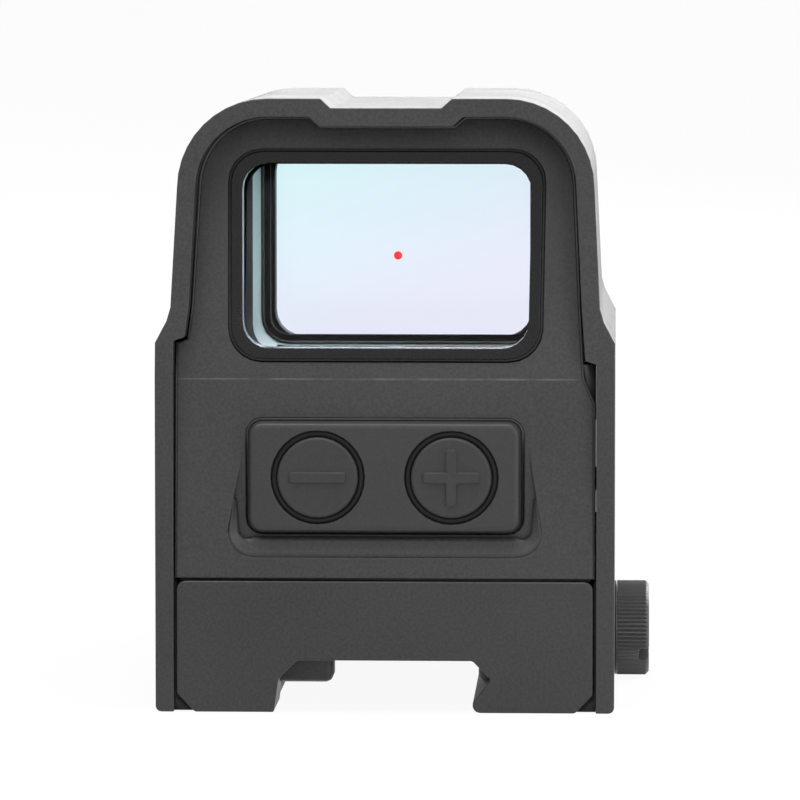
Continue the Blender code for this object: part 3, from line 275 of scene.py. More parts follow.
def glow(name, core, edge, strength):
    """A mottled red surface that may give light."""
    material, tree, shader, place = principled(name)
    mottle = noise(tree, place, scale=900.0)
    colour = ramp(tree, spread(tree, mottle, 0.0, 1.0), core, edge)
    feed(tree, colour, shader.inputs["Base Color"])
    feed(tree, colour, shader.inputs["Emission Color"])
    shader.inputs["Emission Strength"].default_value = strength
    shader.inputs["Roughness"].default_value = 0.4
    return material


HOOD_FINISH = finish_surface(
    "hood_finish", grey(0.017), grey(0.038), grain=3300, cloud=60, rough=(0.38, 0.52),
    bump=0.24, height=0.03 * MM, specular=MATTE_SPECULAR,
)
# The housing's finish carries a painted highlight along the bend of its rear face
HOUSING_FINISH = finish_surface(
    "housing_finish", grey(0.020), grey(0.038), grain=3300, cloud=55, rough=(0.39, 0.52),
    bump=0.20, height=0.03 * MM, specular=MATTE_SPECULAR,
    line={"level": CREASE, "half": 0.13 * MM, "behind": -37.5 * MM, "highlight": grey(0.085)},
)
BASE_FINISH = finish_surface(
    "base_finish", grey(0.017), grey(0.034), grain=3300, cloud=60, rough=(0.39, 0.52),
    bump=0.20, height=0.03 * MM, specular=MATTE_SPECULAR,
)
PLINTH_FINISH = finish_surface(
    "plinth_finish", grey(0.021), grey(0.033), grain=4200, cloud=80, rough=(0.46, 0.58),
    bump=0.12, height=0.03 * MM, specular=MATTE_SPECULAR,
)
BEZEL_FINISH = finish_surface(
    "bezel_finish", grey(0.005), grey(0.009), grain=5200, cloud=90, rough=(0.18, 0.26),
    bump=0.06, height=0.02 * MM, specular=0.27,
)
RUBBER_FINISH = finish_surface(
    "rubber_finish", grey(0.020), grey(0.032), grain=3400, cloud=120, rough=(0.56, 0.70),
    bump=0.20, height=0.04 * MM, specular=MATTE_SPECULAR,
)
SEAL_FINISH = finish_surface(
    "seal_finish", grey(0.014), grey(0.024), grain=3400, cloud=150, rough=(0.60, 0.75),
    bump=0.10, height=0.02 * MM, specular=0.3,
)
BOOT_FINISH = finish_surface(
    "boot_finish", grey(0.008), grey(0.014), grain=3400, cloud=150, rough=(0.55, 0.68),
    bump=0.10, height=0.02 * MM, specular=0.25,
)
STEEL_FINISH = finish_surface(
    "steel_finish", (0.028, 0.028, 0.029), (0.045, 0.045, 0.0465), grain=4800, cloud=150, rough=(0.34, 0.46),
    bump=0.12, height=0.02 * MM, metallic=0.35,
)
NUT_FINISH = finish_surface(
    "nut_finish", grey(0.053), grey(0.077), grain=4800, cloud=150, rough=(0.46, 0.58),
    bump=0.10, height=0.02 * MM, specular=MATTE_SPECULAR,
)
CAP_FINISH = finish_surface(
    "cap_finish", grey(0.021), grey(0.034), grain=5200, cloud=90, rough=(0.38, 0.50),
    bump=0.14, height=0.03 * MM, specular=MATTE_SPECULAR,
)
INNER_FINISH = finish_surface(
    "inner_finish", (0.016, 0.016, 0.017), (0.026, 0.026, 0.028), grain=5200, cloud=120, rough=(0.45, 0.58),
    bump=0.12, height=0.02 * MM,
)
BAFFLE_FINISH = finish_surface(
    "baffle_finish", (0.0025, 0.0025, 0.0028), (0.005, 0.005, 0.0054), grain=4200, cloud=150,
    rough=(0.72, 0.86), bump=0.15, height=0.03 * MM, specular=0.10,
)
RIM_FINISH = finish_surface(
    "rim_finish", grey(0.005), grey(0.009), grain=4800, cloud=120, rough=(0.52, 0.64),
    bump=0.10, height=0.02 * MM, specular=0.12,
)
# A pale teal colour for the middle of the tunnel: a painted reflection of the light from the front window
TUNNEL_PAINTED_REFLECTION = finish_surface(
    "tunnel_painted_reflection", (0.46, 0.66, 0.60), (0.57, 0.78, 0.71), grain=4200, cloud=150, rough=(0.40, 0.52),
    bump=0.10, height=0.02 * MM,
)
BOARD_FINISH = finish_surface(
    "board_finish", (0.010, 0.055, 0.026), (0.018, 0.085, 0.042), grain=2600, cloud=300, rough=(0.35, 0.50),
    bump=0.10, height=0.02 * MM,
)
SWITCH_FINISH = finish_surface(
    "switch_finish", (0.52, 0.42, 0.24), (0.66, 0.55, 0.34), grain=3000, cloud=200, rough=(0.26, 0.38),
    bump=0.08, height=0.01 * MM, metallic=1.0,
)
BATTERY_FINISH = finish_surface(
    "battery_finish", (0.44, 0.44, 0.46), (0.58, 0.58, 0.60), grain=2600, cloud=120, rough=(0.26, 0.36),
    bump=0.08, height=0.01 * MM, metallic=1.0, stretch=(0.04, 1.0, 1.0),
)
WINDOW_GLASS = coated_pane("window_glass", (0.945, 0.940, 0.975), (0.935, 0.99, 0.995))
MIRROR_GLASS = coated_pane("mirror_glass", (0.885, 0.910, 0.975), (0.79, 0.97, 0.99))
DIODE_FINISH = glow("diode_finish", (0.10, 0.008, 0.006), (0.07, 0.006, 0.005), strength=0.0)
DOT_GLOW = glow("dot_glow", (1.0, 0.030, 0.030), (0.95, 0.022, 0.022), strength=1.0)

FINISHES = {
    "hood_black": HOOD_FINISH,
    "housing_black": HOUSING_FINISH,
    "base_black": BASE_FINISH,
    "plinth_black": PLINTH_FINISH,
    "bezel_black": BEZEL_FINISH,
    "rubber_black": RUBBER_FINISH,
    "clear_glass": WINDOW_GLASS,
    "coated_glass": MIRROR_GLASS,
    "black_steel": STEEL_FINISH,
    "cap_black": CAP_FINISH,
    "inner_metal": INNER_FINISH,
    "board_green": BOARD_FINISH,
    "switch_metal": SWITCH_FINISH,
    "battery_shell": BATTERY_FINISH,
    "diode_red": DIODE_FINISH,
}
OWN_FINISH = {
    "clamp_nut": NUT_FINISH,
    "lens_cell": BAFFLE_FINISH,
    "front_gasket": BAFFLE_FINISH,
    "front_bezel": RIM_FINISH,
}


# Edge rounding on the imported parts

# Width of the rounding in millimetres, and the angle in degrees above which an edge gets it
ROUNDING = {
    "hood": (0.12, 32),
    "main_housing": (0.12, 32),
    "mount_base": (0.18, 40),
    "clamp_jaw": (0.20, 40),
    "button_plinth": (0.14, 32),
    "rear_bezel": (0.10, 32),
    "front_bezel": (0.20, 32),
    "lens_cell": (0.12, 40),
    "minus_button": (0.10, 32),
    "plus_button": (0.10, 32),
    "battery_cap": (0.18, 40),
    "clamp_nut": (0.05, 50),
    "cross_bolt": (0.12, 40),
    "windage_screw": (0.08, 50),
    "elevation_screw": (0.08, 50),
    "emitter_block": (0.15, 40),
    "emitter_diode": (0.12, 40),
    "windage_sled": (0.12, 40),
    "minus_switch": (0.15, 40),
    "plus_switch": (0.15, 40),
    "control_board": (0.10, 40),
    "switch_board": (0.10, 40),
    "battery": (0.25, 40),
}
SCREW_ROUNDING = (0.10, 50)
UNROUNDED = (0.0, 0.0)
ROUNDING_STEPS = 3
MITER_SHARE = 0.2
SHARP_ANGLE = math.radians(36)
FLAT_ANGLE = math.radians(0.3)
WELD = 0.002 * MM
NUT_RIM = 1.15 * MM
NUT_EDGE_SKEW = 0.1 * MM

# Places along X where the faces that have a hole in them are split
BUTTON_PLACE = 7.03 * MM
SPLITS = {
    "main_housing": (0.0,),
    "rear_bezel": (0.0,),
    "front_bezel": (0.0,),
    "button_plinth": (-BUTTON_PLACE, BUTTON_PLACE),
}
PANES = ("rear_window", "front_window", "reflector_lens")
PANE_FACING = 0.6

# The optical tunnel: its reach, and how far its walls and its floor are blackened from the rear, up to the
# band with the painted reflection
TUNNEL_FLOOR = 30 * MM
TRENCH_FLOOR = 22 * MM
TRENCH_REAR = -26 * MM
TUNNEL_MARGIN = 0.5 * MM
POCKET_DEPTH = 1.2 * MM
BLACKED_TO = -12.5 * MM
FLOOR_BLACKED_TO = -1.5 * MM
CELL_REAR = LENS_LOW.y - 1.5 * MM
FLOOR_FACING = 0.9
BLACK_PLACE = 1
PAINTED_REFLECTION_PLACE = 2


def in_tunnel(spot):
    """Whether a point of the housing lies inside the optical tunnel, its pockets or the emitter trench."""
    face = BEZEL_LOW.y + math.tan(LEAN) * (spot.z - BEZEL_LOW.z)
    beside = abs(spot.x) < BEZEL_HIGH.x + TUNNEL_MARGIN
    floor = TRENCH_FLOOR if spot.y > TRENCH_REAR else TUNNEL_FLOOR
    level = floor < spot.z < BEZEL_HIGH.z + TUNNEL_MARGIN
    return beside and level and face + POCKET_DEPTH < spot.y < HEAD_FRONT - TUNNEL_MARGIN


def paint_tunnel(shape):
    """Gives the tunnel's rear and front parts the dead black finish and its middle a pale teal colour, a
    painted reflection of the light from the front window.
    """
    for level in (BLACKED_TO, FLOOR_BLACKED_TO, CELL_REAR):
        walls = [face for face in shape.faces if in_tunnel(face.calc_center_median())]
        edges = {edge for face in walls for edge in face.edges}
        points = {vert for face in walls for vert in face.verts}
        bmesh.ops.bisect_plane(
            shape, geom=[*points, *edges, *walls], plane_co=(0.0, level, 0.0), plane_no=(0.0, 1.0, 0.0)
        )
    for face in shape.faces:
        centre = face.calc_center_median()
        start = FLOOR_BLACKED_TO if face.normal.z > FLOOR_FACING else BLACKED_TO
        if in_tunnel(centre):
            face.material_index = PAINTED_REFLECTION_PLACE if start < centre.y < CELL_REAR else BLACK_PLACE


def joined_up(name):
    """A part's shape with its triangles joined into flat faces, split where a face has a hole in it."""
    shape = bmesh.new()
    shape.from_mesh(frame["nodes"][name].data)
    bmesh.ops.remove_doubles(shape, verts=shape.verts, dist=WELD)
    for level in SPLITS.get(name, ()):
        cut = bmesh.ops.bisect_plane(
            shape,
            geom=[*shape.verts, *shape.edges, *shape.faces],
            plane_co=(level, 0.0, 0.0),
            plane_no=(1.0, 0.0, 0.0),
        )
        for item in cut["geom_cut"]:
            if isinstance(item, bmesh.types.BMEdge):
                item.seam = True
    bmesh.ops.dissolve_limit(
        shape, angle_limit=FLAT_ANGLE, verts=shape.verts, edges=shape.edges, delimit={"SEAM"}
    )
    return shape


def new_thing(name, shape, smooth=True):
    """Turns a shape into an object of the scene, with smooth shading or with the shading that it has."""
    mesh = bpy.data.meshes.new(name)
    shape.to_mesh(mesh)
    shape.free()
    if smooth:
        for face in mesh.polygons:
            face.use_smooth = True
    thing = bpy.data.objects.new(name, mesh)
    bpy.context.scene.collection.objects.link(thing)
    return thing


def edges_to_round(name, shape, angle):
    """A part's sharp edges, without those inside the tunnel and with only the outer rim of the nut."""
    edges = [edge for edge in shape.edges if len(edge.link_faces) == 2]
    sharp = [edge for edge in edges if edge.calc_face_angle() > math.radians(angle)]
    if name == "main_housing":
        sharp = [edge for edge in sharp if not all(in_tunnel(vert.co) for vert in edge.verts)]
    if name == "clamp_nut":
        sharp = [edge for edge in sharp if abs(edge.verts[0].co.x - edge.verts[1].co.x) < NUT_EDGE_SKEW]
        sharp = [edge for edge in sharp if min(vert.co.x for vert in edge.verts) > NUT_HIGH.x - NUT_RIM]
    return sharp


def rounded_copy(name, width, angle):
    """A copy of a part with its flat faces joined up and its edges rounded, in place of the part."""
    node = frame["nodes"][name]
    shape = joined_up(name)
    bmesh.ops.bevel(
        shape,
        geom=edges_to_round(name, shape, angle),
        offset=width * MM,
        offset_type="OFFSET",
        segments=ROUNDING_STEPS,
        profile=0.5,
        affect="EDGES",
        clamp_overlap=False,
        loop_slide=False,
        miter_outer="ARC",
        spread=MITER_SHARE * width * MM,
    )
    if name == "main_housing":
        paint_tunnel(shape)
    for edge in shape.edges:
        if len(edge.link_faces) == 2 and edge.calc_face_angle() > SHARP_ANGLE:
            edge.smooth = False
    thing = new_thing(name + "_rounded", shape)
    for place in node.material_slots:
        thing.data.materials.append(OWN_FINISH.get(name, FINISHES[place.material.name]))
    if name == "main_housing":
        thing.data.materials.append(BAFFLE_FINISH)
        thing.data.materials.append(TUNNEL_PAINTED_REFLECTION)
    even = thing.modifiers.new("even", "WEIGHTED_NORMAL")
    even.mode = "FACE_AREA"
    even.weight = 50
    even.keep_sharp = True
    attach(thing, BODY_OF[name])
    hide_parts(name)


def edge_blacked(name):
    """A copy of a pane with the ground edge round it blackened, in place of the pane."""
    shape = joined_up(name)
    for face in shape.faces:
        face.material_index = 0 if abs(face.normal.y) > PANE_FACING else BLACK_PLACE
    thing = new_thing(name + "_edged", shape, smooth=False)
    for place in frame["nodes"][name].material_slots:
        thing.data.materials.append(FINISHES[place.material.name])
    thing.data.materials.append(BAFFLE_FINISH)
    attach(thing, BODY_OF[name])
    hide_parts(name)


for name, node in frame["nodes"].items():
    if name in PANES:
        edge_blacked(name)
        continue
    width, angle = ROUNDING.get(name, UNROUNDED)
    if name.startswith(("hood_screw", "base_screw")):
        width, angle = SCREW_ROUNDING
    if width:
        rounded_copy(name, width, angle)
        continue
    for place in node.material_slots:
        place.material = OWN_FINISH.get(name, FINISHES[place.material.name])


# Helpers for new pieces

HOOP_SIDES = 64


def piece(name, mesh_maker, body, material):
    """A new piece of the visual that moves with one body."""
    shape = bmesh.new()
    mesh_maker(shape)
    bmesh.ops.recalc_face_normals(shape, faces=shape.faces)
    thing = new_thing(name, shape)
    thing.data.materials.append(material)
    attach(thing, body)


def strung(shape, rings, closed):
    """Joins rows of section corners into one tube, with its ends closed where it does not meet itself."""
    rows = [[shape.verts.new(spot) for spot in ring] for ring in rings]
    count = len(rows[0])
    follow = rows[1:] + rows[:1] if closed else rows[1:]
    for first, second in zip(rows, follow):
        for corner in range(count):
            after = (corner + 1) % count
            shape.faces.new((first[corner], first[after], second[after], second[corner]))
    if not closed:
        shape.faces.new(rows[0])
        shape.faces.new(list(reversed(rows[-1])))


def bar(shape, section, near, far):
    """A straight bar along Y with a section given in X and Z."""
    strung(shape, [[(x, y, z) for x, z in section] for y in (near, far)], closed=False)


def mirrored(section):
    """The same section on the left."""
    return tuple((-x, z) for x, z in section)


def hoop(shape, centre, axis, inner, outer, near, far):
    """A flat ring about a line along X or Y."""
    rings = []
    for step in range(HOOP_SIDES):
        turn = 2 * math.pi * step / HOOP_SIDES
        ring = []
        for radius, along in ((inner, near), (outer, near), (outer, far), (inner, far)):
            across = radius * math.cos(turn)
            up = radius * math.sin(turn)
            spot = (across, along, up) if axis == "Y" else (along, across, up)
            ring.append(Vector(centre) + Vector(spot))
        rings.append(ring)
    strung(shape, rings, closed=True)


# The lit dot on the lens: a glowing disc, painted light standing in for the diode's light reflected by the
# lens

DOT_X = -0.27 * MM
DOT_Z = 40.5 * MM
DOT_RADIUS = 0.47 * MM
DOT_PROUD = 0.10 * MM
DOT_SIDES = 40
DOT_STEPS = 6


def dot_shape(shape):
    """A low dome with its flat side on the lens."""
    rings = []
    for step in range(DOT_STEPS):
        climb = step / DOT_STEPS * math.pi / 2
        radius = DOT_RADIUS * math.cos(climb)
        lift = DOT_PROUD * math.sin(climb)
        ring = []
        for side in range(DOT_SIDES):
            turn = 2 * math.pi * side / DOT_SIDES
            spot = (DOT_X + radius * math.cos(turn), LENS_LOW.y - lift, DOT_Z + radius * math.sin(turn))
            ring.append(shape.verts.new(spot))
        rings.append(ring)
    tip = shape.verts.new((DOT_X, LENS_LOW.y - DOT_PROUD, DOT_Z))
    for lower, upper in zip(rings, rings[1:]):
        for side in range(DOT_SIDES):
            after = (side + 1) % DOT_SIDES
            shape.faces.new((lower[side], lower[after], upper[after], upper[side]))
    for side in range(DOT_SIDES):
        shape.faces.new((rings[-1][side], rings[-1][(side + 1) % DOT_SIDES], tip))
    shape.faces.new(list(reversed(rings[0])))


piece("lit_dot", dot_shape, "emitter", DOT_GLOW)


# Beads round the bezel and the housing

BEAD_FACING = 0.96
BEAD_SIDE_TURN = 0.6
BEAD_LAP = 0.02 * MM
BEAD_DEPTH = 1.2 * MM
BEAD_GROWS_FROM = 36 * MM
BEAD_GROWS_OVER = 10 * MM
BEAD_CORNER_GROWTH = 0.5
BEAD_STEEPEST = 0.5
# Lowest slope, as the Z of its normal, of a side that gets a bead
ALL_ROUND = -1.1
TOP_AND_SIDES = -0.5


def rear_rim(part, lowest):
    """The edges round a part's rear face as pairs of points, and each point's ways out of the face."""
    middle = (BEZEL_LOW + BEZEL_HIGH) / 2
    outward = {}
    chain = []
    for face in part.faces:
        if face.normal.dot(REAR_WAY) < BEAD_FACING:
            continue
        for edge in face.edges:
            beside = [other for other in edge.link_faces if other is not face]
            if not beside:
                continue
            side = beside[0].normal
            spot = (edge.verts[0].co + edge.verts[1].co) / 2
            if abs(side.y) > BEAD_SIDE_TURN or side.z < lowest or side.dot(spot - middle) < 0:
                continue
            chain.append((edge.verts[0], edge.verts[1]))
            for vert in edge.verts:
                outward.setdefault(vert, []).append(Vector((side.x, 0.0, side.z)).normalized())
    return chain, outward


def bead_shape(shape, name, low_width, high_width, sink, lowest):
    """A bead round the rear face of a part, sunk a little and with a width that may grow with height."""
    part = joined_up(name)
    chain, outward = rear_rim(part, lowest)
    corners = {}
    for vert, ways in outward.items():
        way = sum(ways, Vector()).normalized()
        share = min(1.0, max(0.0, (vert.co.z - BEAD_GROWS_FROM) / BEAD_GROWS_OVER))
        reach = low_width + (high_width - low_width) * share
        reach *= 1 + BEAD_CORNER_GROWTH * abs(way.x * way.z)
        reach /= max(BEAD_STEEPEST, way.dot(ways[0]))
        near = vert.co - way * BEAD_LAP
        far = vert.co + way * reach
        front = (near + Vector((0, sink, 0)), far + Vector((0, sink, 0)))
        back = (far + Vector((0, BEAD_DEPTH, 0)), near + Vector((0, BEAD_DEPTH, 0)))
        corners[vert] = [shape.verts.new(place) for place in (*front, *back)]
    for first, second in chain:
        here = corners[first]
        there = corners[second]
        for corner in range(len(here)):
            after = (corner + 1) % len(here)
            shape.faces.new((here[corner], here[after], there[after], there[corner]))
    for vert, ways in outward.items():
        if len(ways) == 1:
            shape.faces.new(corners[vert])
    part.free()


def bezel_bead(shape):
    """The seal round the window bezel."""
    bead_shape(shape, "rear_bezel", 0.25 * MM, 0.25 * MM, sink=0.24 * MM, lowest=ALL_ROUND)


def hood_bead(shape):
    """The thin filling between the housing and the hood, wider along the brow."""
    bead_shape(shape, "main_housing", 0.17 * MM, 0.27 * MM, sink=0.04 * MM, lowest=TOP_AND_SIDES)


piece("bezel_bead", bezel_bead, "sight", SEAL_FINISH)
piece("hood_bead", hood_bead, "sight", HOUSING_FINISH)


# The keypad's bead, recess and boots

PLINTH_BEAD_INNER = 0.01 * MM
PLINTH_BEAD_OUTER = 0.29 * MM
PLINTH_BEAD_DEPTH = 1.0 * MM
PLINTH_BEAD_SINK_HIGH = 0.03 * MM
PLINTH_BEAD_SINK_LOW = 0.55 * MM
PLINTH_BEAD_STEPS = 8
PROBE_AWAY = 0.6 * MM
PROBE_START = -100 * MM


def plinth_bead(shape):
    """The bead round the button plinth, level with the recess floor and deeper along the foot."""
    part = joined_up("main_housing")
    floor = BVHTree.FromBMesh(part)
    middle = (PLINTH_LOW + PLINTH_HIGH) / 2
    half = (PLINTH_HIGH - PLINTH_LOW) / 2
    rings = []
    for corner, (side, level) in enumerate(((1, 1), (-1, 1), (-1, -1), (1, -1))):
        heart = middle + Vector((side * (half.x - PLINTH_ROUND), 0.0, level * (half.z - PLINTH_ROUND)))
        sink = PLINTH_BEAD_SINK_HIGH if level > 0 else PLINTH_BEAD_SINK_LOW
        for step in range(PLINTH_BEAD_STEPS + 1):
            turn = (corner + step / PLINTH_BEAD_STEPS) * math.pi / 2
            way = Vector((math.cos(turn), 0.0, math.sin(turn)))
            edge = heart + way * PLINTH_ROUND
            probe = edge + way * PROBE_AWAY
            hit = floor.ray_cast(Vector((probe.x, PROBE_START, probe.z)), Vector((0.0, 1.0, 0.0)))[0]
            near = hit.y + sink
            far = near + PLINTH_BEAD_DEPTH
            inner = edge + way * PLINTH_BEAD_INNER
            outer = edge + way * PLINTH_BEAD_OUTER
            places = ((inner, near), (outer, near), (outer, far), (inner, far))
            rings.append([(spot.x, y, spot.z) for spot, y in places])
    strung(shape, rings, closed=True)
    part.free()


RECESS_HEART_X = RECESS_HALF - RECESS_ROUND
RECESS_HEART_Z = RECESS_FOOT + RECESS_ROUND
RECESS_SIDE_SLOPE = (RECESS_HALF - RECESS_TOP_HALF) / (PLINTH_HIGH.z - RECESS_HEART_Z)
RAMP_TOP = 17.0 * MM
RAMP_SIDE_STEPS = 10
RAMP_CORNER_STEPS = 12
RAMP_SIDE_REACH = 0.3 * MM
RAMP_SIDE_GROWTH = 0.08 * MM
RAMP_CORNER_REACH = 1.1 * MM
RAMP_CORNER_GROWTH = 1.0 * MM
RAMP_ROOT = 0.05 * MM
RAMP_LIP = 0.015
# Shares of the ramp's reach, and of the depth between the rear face and the recess floor
RAMP_PROFILE = ((RAMP_LIP, 0.03), (0.25, 0.17), (0.5, 0.33), (0.75, 0.47), (1.0, 0.58))


def face_depth(level):
    """The rear face of the lower body at one height."""
    return HOUSING_LOW.y + FACE_SLOPE * (level - HOUSING_LOW.z)


def floor_depth(level):
    """The floor of the keypad recess at one height."""
    return HOUSING_LOW.y + RECESS_DEPTH - RECESS_FLOOR_SLOPE * (level - RECESS_DEEPEST)


def ramp_path():
    """Places along the recess rim from side to side, each with its way in and the reach of the ramp."""
    path = []
    for step in range(RAMP_SIDE_STEPS):
        up = RAMP_TOP - step * (RAMP_TOP - RECESS_HEART_Z) / RAMP_SIDE_STEPS
        spot = (RECESS_HALF - RECESS_SIDE_SLOPE * (up - RECESS_HEART_Z), up)
        path.append((spot, (-1.0, 0.0), RAMP_SIDE_REACH + RAMP_SIDE_GROWTH * step))
    for step in range(RAMP_CORNER_STEPS + 1):
        share = step / RAMP_CORNER_STEPS
        across = math.cos(-share * math.pi / 2)
        up = math.sin(-share * math.pi / 2)
        spot = (RECESS_HEART_X + RECESS_ROUND * across, RECESS_HEART_Z + RECESS_ROUND * up)
        path.append((spot, (-across, -up), RAMP_CORNER_REACH + RAMP_CORNER_GROWTH * share))
    left = [((-x, z), (-across, up), reach) for (x, z), (across, up), reach in reversed(path)]
    return path + left


def recess_ramp(shape):
    """The soft run-out of the keypad recess up to the rear face, along its foot and its lower corners."""
    rings = []
    for (x, z), (across, up), reach in ramp_path():
        ring = []
        for share, depth in RAMP_PROFILE:
            level = z + up * reach * share
            rim = face_depth(level)
            ring.append((x + across * reach * share, rim + (floor_depth(level) - rim) * depth, level))
        for share in (1.0, RAMP_LIP):
            level = z + up * reach * share
            ring.append((x + across * reach * share, floor_depth(level) + RAMP_ROOT, level))
        rings.append(ring)
    strung(shape, rings, closed=False)


BOOT_INNER = 4.27 * MM
BOOT_OUTER = 4.94 * MM
BOOT_SINK = 0.36 * MM
BOOT_DEPTH = 0.30 * MM


def button_boots(shape):
    """Thin rubber skirts that close the ring round each button."""
    near = PLINTH_LOW.y + BOOT_SINK
    for name in ("minus_button", "plus_button"):
        low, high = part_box(name)
        centre = (low + high) / 2
        hoop(shape, (centre.x, 0.0, centre.z), "Y", BOOT_INNER, BOOT_OUTER, near, near + BOOT_DEPTH)


# Fillings between base, housing, hood and nut

STRIP_REAR = BASE_LOW.y + 0.7 * MM
STRIP_FRONT = HOOD_HIGH.y - 1.0 * MM
STRIP_INSET = 0.1 * MM
STRIP_INNER = BASE_HIGH.x + 0.05 * MM
STRIP_OUTER = PLATE_INNER - 0.01 * MM
STRIP_CORNER = BASE_HIGH.x - BASE_CHAMFER + 0.15 * MM
STRIP_BREAK = 5.0 * MM
JOINT_HALF = BASE_HIGH.x - 0.25 * MM
JOINT_SLACK = 0.02 * MM
JOINT_DEPTH = 1.8 * MM
PAD_OUTER = PLATE_INNER - 0.05 * MM
PAD_BESIDE = BASE_HIGH.x - 0.05 * MM
PAD_INNER = 20.7 * MM
PAD_FOOT = 26.0 * MM
PAD_BEND = 30.0 * MM
PAD_TOP = 31.2 * MM
PAD_REAR = -38.0 * MM
PAD_FRONT = -33.0 * MM
WASHER_INNER = 4.2 * MM
WASHER_OUTER = (NUT_HIGH.z - NUT_LOW.z) / 2 - 0.05 * MM
WASHER_SLACK = 0.005 * MM
NUT_CENTRE = (NUT_LOW + NUT_HIGH) / 2


def joint_strip(shape):
    """The dark joint between the housing and the base, seen along the rear."""
    low = BASE_HIGH.z + JOINT_SLACK
    high = HOUSING_LOW.z - JOINT_SLACK
    section = ((-JOINT_HALF, low), (JOINT_HALF, low), (JOINT_HALF, high), (-JOINT_HALF, high))
    bar(shape, section, STRIP_REAR, STRIP_REAR + JOINT_DEPTH)


def side_strips(shape):
    """Rubber strips between the base and the side plates, filling the base's lower corners."""
    foot = BASE_LOW.z + STRIP_INSET
    top = BASE_HIGH.z - STRIP_INSET
    bend = BASE_LOW.z + BASE_CHAMFER
    right = (
        (STRIP_CORNER, foot),
        (STRIP_OUTER, foot),
        (STRIP_OUTER, top),
        (STRIP_INNER, top),
        (STRIP_INNER, bend),
    )
    bar(shape, mirrored(right), STRIP_REAR, STRIP_FRONT)
    bar(shape, right, STRIP_REAR, NUT_CENTRE.y - STRIP_BREAK)
    bar(shape, right, NUT_CENTRE.y + STRIP_BREAK, STRIP_FRONT)


def shoulder_pads(shape):
    """Pads that close the wedge between the housing and the side plates at the bend."""
    right = (
        (PAD_BESIDE, PAD_FOOT),
        (PAD_OUTER, PAD_FOOT),
        (PAD_OUTER, PAD_TOP),
        (PAD_INNER, PAD_TOP),
        (PAD_INNER, PAD_BEND),
    )
    bar(shape, right, PAD_REAR, PAD_FRONT)
    bar(shape, mirrored(right), PAD_REAR, PAD_FRONT)


def nut_washer(shape):
    """The thin washer between the nut and the side plate."""
    near = HOOD_HIGH.x + WASHER_SLACK
    far = HOOD_HIGH.x + NUT_GAP - WASHER_SLACK
    hoop(shape, (0.0, NUT_CENTRE.y, NUT_CENTRE.z), "X", WASHER_INNER, WASHER_OUTER, near, far)


piece("plinth_bead", plinth_bead, "sight", HOUSING_FINISH)
piece("recess_ramp", recess_ramp, "sight", HOUSING_FINISH)
piece("button_boots", button_boots, "sight", BOOT_FINISH)
piece("joint_strip", joint_strip, "sight", SEAL_FINISH)
piece("side_strips", side_strips, "sight", SEAL_FINISH)
piece("shoulder_pads", shoulder_pads, "sight", RUBBER_FINISH)
piece("nut_washer", nut_washer, "sight", STEEL_FINISH)


# Floor and backdrop

FLOOR = CAD_BOX[0][2] - 0.02 * MM
FLOOR_GLOW_SHARE = 0.93
SWEEP_STEPS = 16


def stage_material():
    """A white floor that keeps soft shadows, and that is clear when seen from below."""
    material, tree = new_material("stage_white")
    out = add(tree, "ShaderNodeOutputMaterial")
    matte = add(tree, "ShaderNodeBsdfDiffuse")
    place = add(tree, "ShaderNodeTexCoord").outputs["Object"]
    soft = noise(tree, place, scale=6.0)
    feed(tree, ramp(tree, soft, grey(0.86), grey(0.90)), matte.inputs["Color"])
    light = add(tree, "ShaderNodeEmission")
    light.inputs["Strength"].default_value = 1.0
    share = spread(tree, seen_directly(tree), 0.0, FLOOR_GLOW_SHARE, start=0.0, end=1.0)
    mix = add(tree, "ShaderNodeMixShader")
    feed(tree, share, mix.inputs["Fac"])
    feed(tree, matte.outputs["BSDF"], mix.inputs[1])
    feed(tree, light.outputs["Emission"], mix.inputs[2])
    clear = add(tree, "ShaderNodeBsdfTransparent")
    below = add(tree, "ShaderNodeMixShader")
    feed(tree, add(tree, "ShaderNodeNewGeometry").outputs["Backfacing"], below.inputs["Fac"])
    feed(tree, mix.outputs["Shader"], below.inputs[1])
    feed(tree, clear.outputs["BSDF"], below.inputs[2])
    feed(tree, below.outputs["Shader"], out.inputs["Surface"])
    return material


def sweep(name, half_width, near, far, height, bend):
    """Floor and backdrop in one sheet, joined by a round sweep."""
    shape = bmesh.new()
    profile = [(near, 0.0), (far - bend, 0.0)]
    for step in range(1, SWEEP_STEPS + 1):
        turn = step / SWEEP_STEPS * math.pi / 2
        profile.append((far - bend + bend * math.sin(turn), bend - bend * math.cos(turn)))
    profile.append((far, height))
    rows = []
    for away, up in profile:
        row = [shape.verts.new((x, away, FLOOR + up)) for x in (-half_width, half_width)]
        rows.append(row)
    for first, second in zip(rows, rows[1:]):
        shape.faces.new((first[0], first[1], second[1], second[0]))
    thing = new_thing(name, shape)
    thing.data.materials.append(stage_material())


sweep("studio_floor", half_width=3.0, near=-3.0, far=1.6, height=2.4, bend=0.5)


# Light

BODY_CENTRE = (0.0, 0.0, 0.03)
HEAD_CENTRE = (0.0, 0.0, 0.06)
SHOULDER_CENTRE = (0.0, 0.0, 0.04)
WORLD_FILL = 0.37


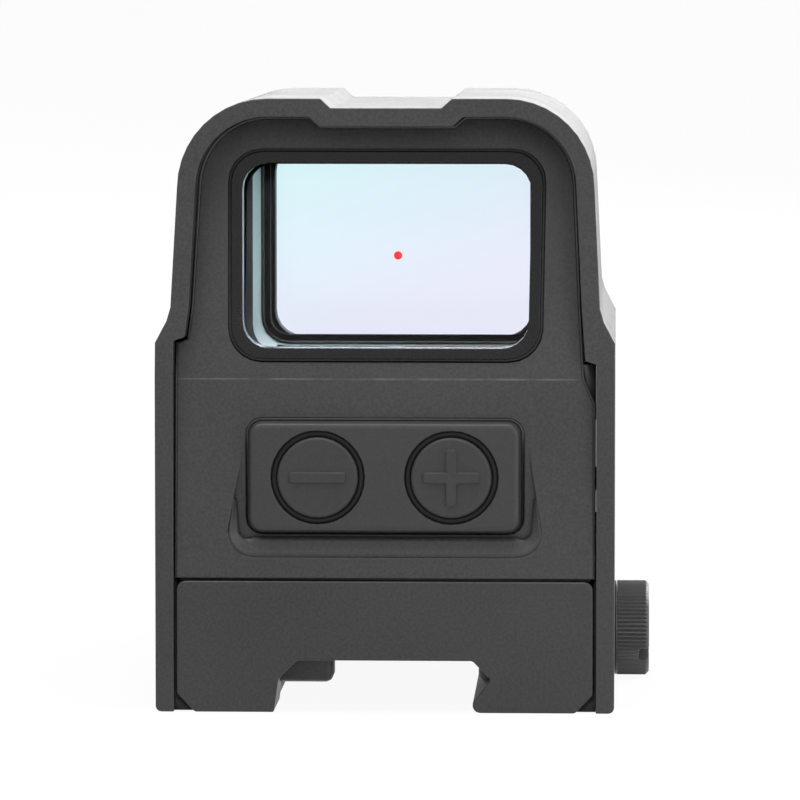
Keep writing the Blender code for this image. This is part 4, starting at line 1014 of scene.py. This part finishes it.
def softbox(name, place, aim, width, height, power):
    """A rectangular area light turned towards a point."""
    data = bpy.data.lights.new(name, "AREA")
    data.shape = "RECTANGLE"
    data.size = width
    data.size_y = height
    data.energy = power
    lamp = bpy.data.objects.new(name, data)
    lamp.location = place
    lamp.rotation_euler = (Vector(aim) - Vector(place)).to_track_quat("-Z", "Y").to_euler()
    bpy.context.scene.collection.objects.link(lamp)


softbox("key_light", (-0.36, -0.46, 0.70), BODY_CENTRE, width=0.5, height=0.5, power=1.5)
softbox("fill_light", (0.34, -0.40, 0.14), BODY_CENTRE, width=0.3, height=0.3, power=0.75)
softbox("top_light", (0.0, -0.16, 0.85), BODY_CENTRE, width=0.6, height=0.4, power=5.6)
softbox("rim_light", (0.40, 0.92, 0.42), HEAD_CENTRE, width=1.3, height=0.36, power=6.6)
softbox("side_rim_light", (0.75, 0.75, 0.30), SHOULDER_CENTRE, width=0.5, height=0.5, power=8.5)


def white_light(tree, strength):
    """A plain white background light."""
    light = add(tree, "ShaderNodeBackground")
    light.inputs["Color"].default_value = (*grey(1.0), 1.0)
    light.inputs["Strength"].default_value = strength
    return light.outputs["Background"]


def light_world():
    """A world that looks white and gives a dimmer, even fill."""
    world = bpy.data.worlds.new("studio")
    bpy.context.scene.world = world
    world.use_nodes = True
    tree = world.node_tree
    tree.nodes.clear()
    out = add(tree, "ShaderNodeOutputWorld")
    mix = add(tree, "ShaderNodeMixShader")
    feed(tree, seen_directly(tree), mix.inputs["Fac"])
    feed(tree, white_light(tree, WORLD_FILL), mix.inputs[1])
    feed(tree, white_light(tree, 1.0), mix.inputs[2])
    feed(tree, mix.outputs["Shader"], out.inputs["Surface"])


light_world()
bpy.context.scene.view_settings.view_transform = "Standard"


# Camera

CAMERA_PLACE = (0.02464, -0.62438, 0.07288)
CAMERA_DIP = math.radians(4.428)
CAMERA_TURN = math.radians(2.254)
SENSOR_WIDTH = 36.0
FOCAL_LENGTH = 251.4

eye = bpy.data.cameras.new("photo_camera")
eye.sensor_width = SENSOR_WIDTH
eye.lens = FOCAL_LENGTH
eye.clip_start = 0.01
eye.clip_end = 50.0
camera = bpy.data.objects.new("photo_camera", eye)
camera.location = CAMERA_PLACE
camera.rotation_euler = (math.pi / 2 - CAMERA_DIP, 0.0, CAMERA_TURN)
bpy.context.scene.collection.objects.link(camera)
bpy.context.scene.camera = camera
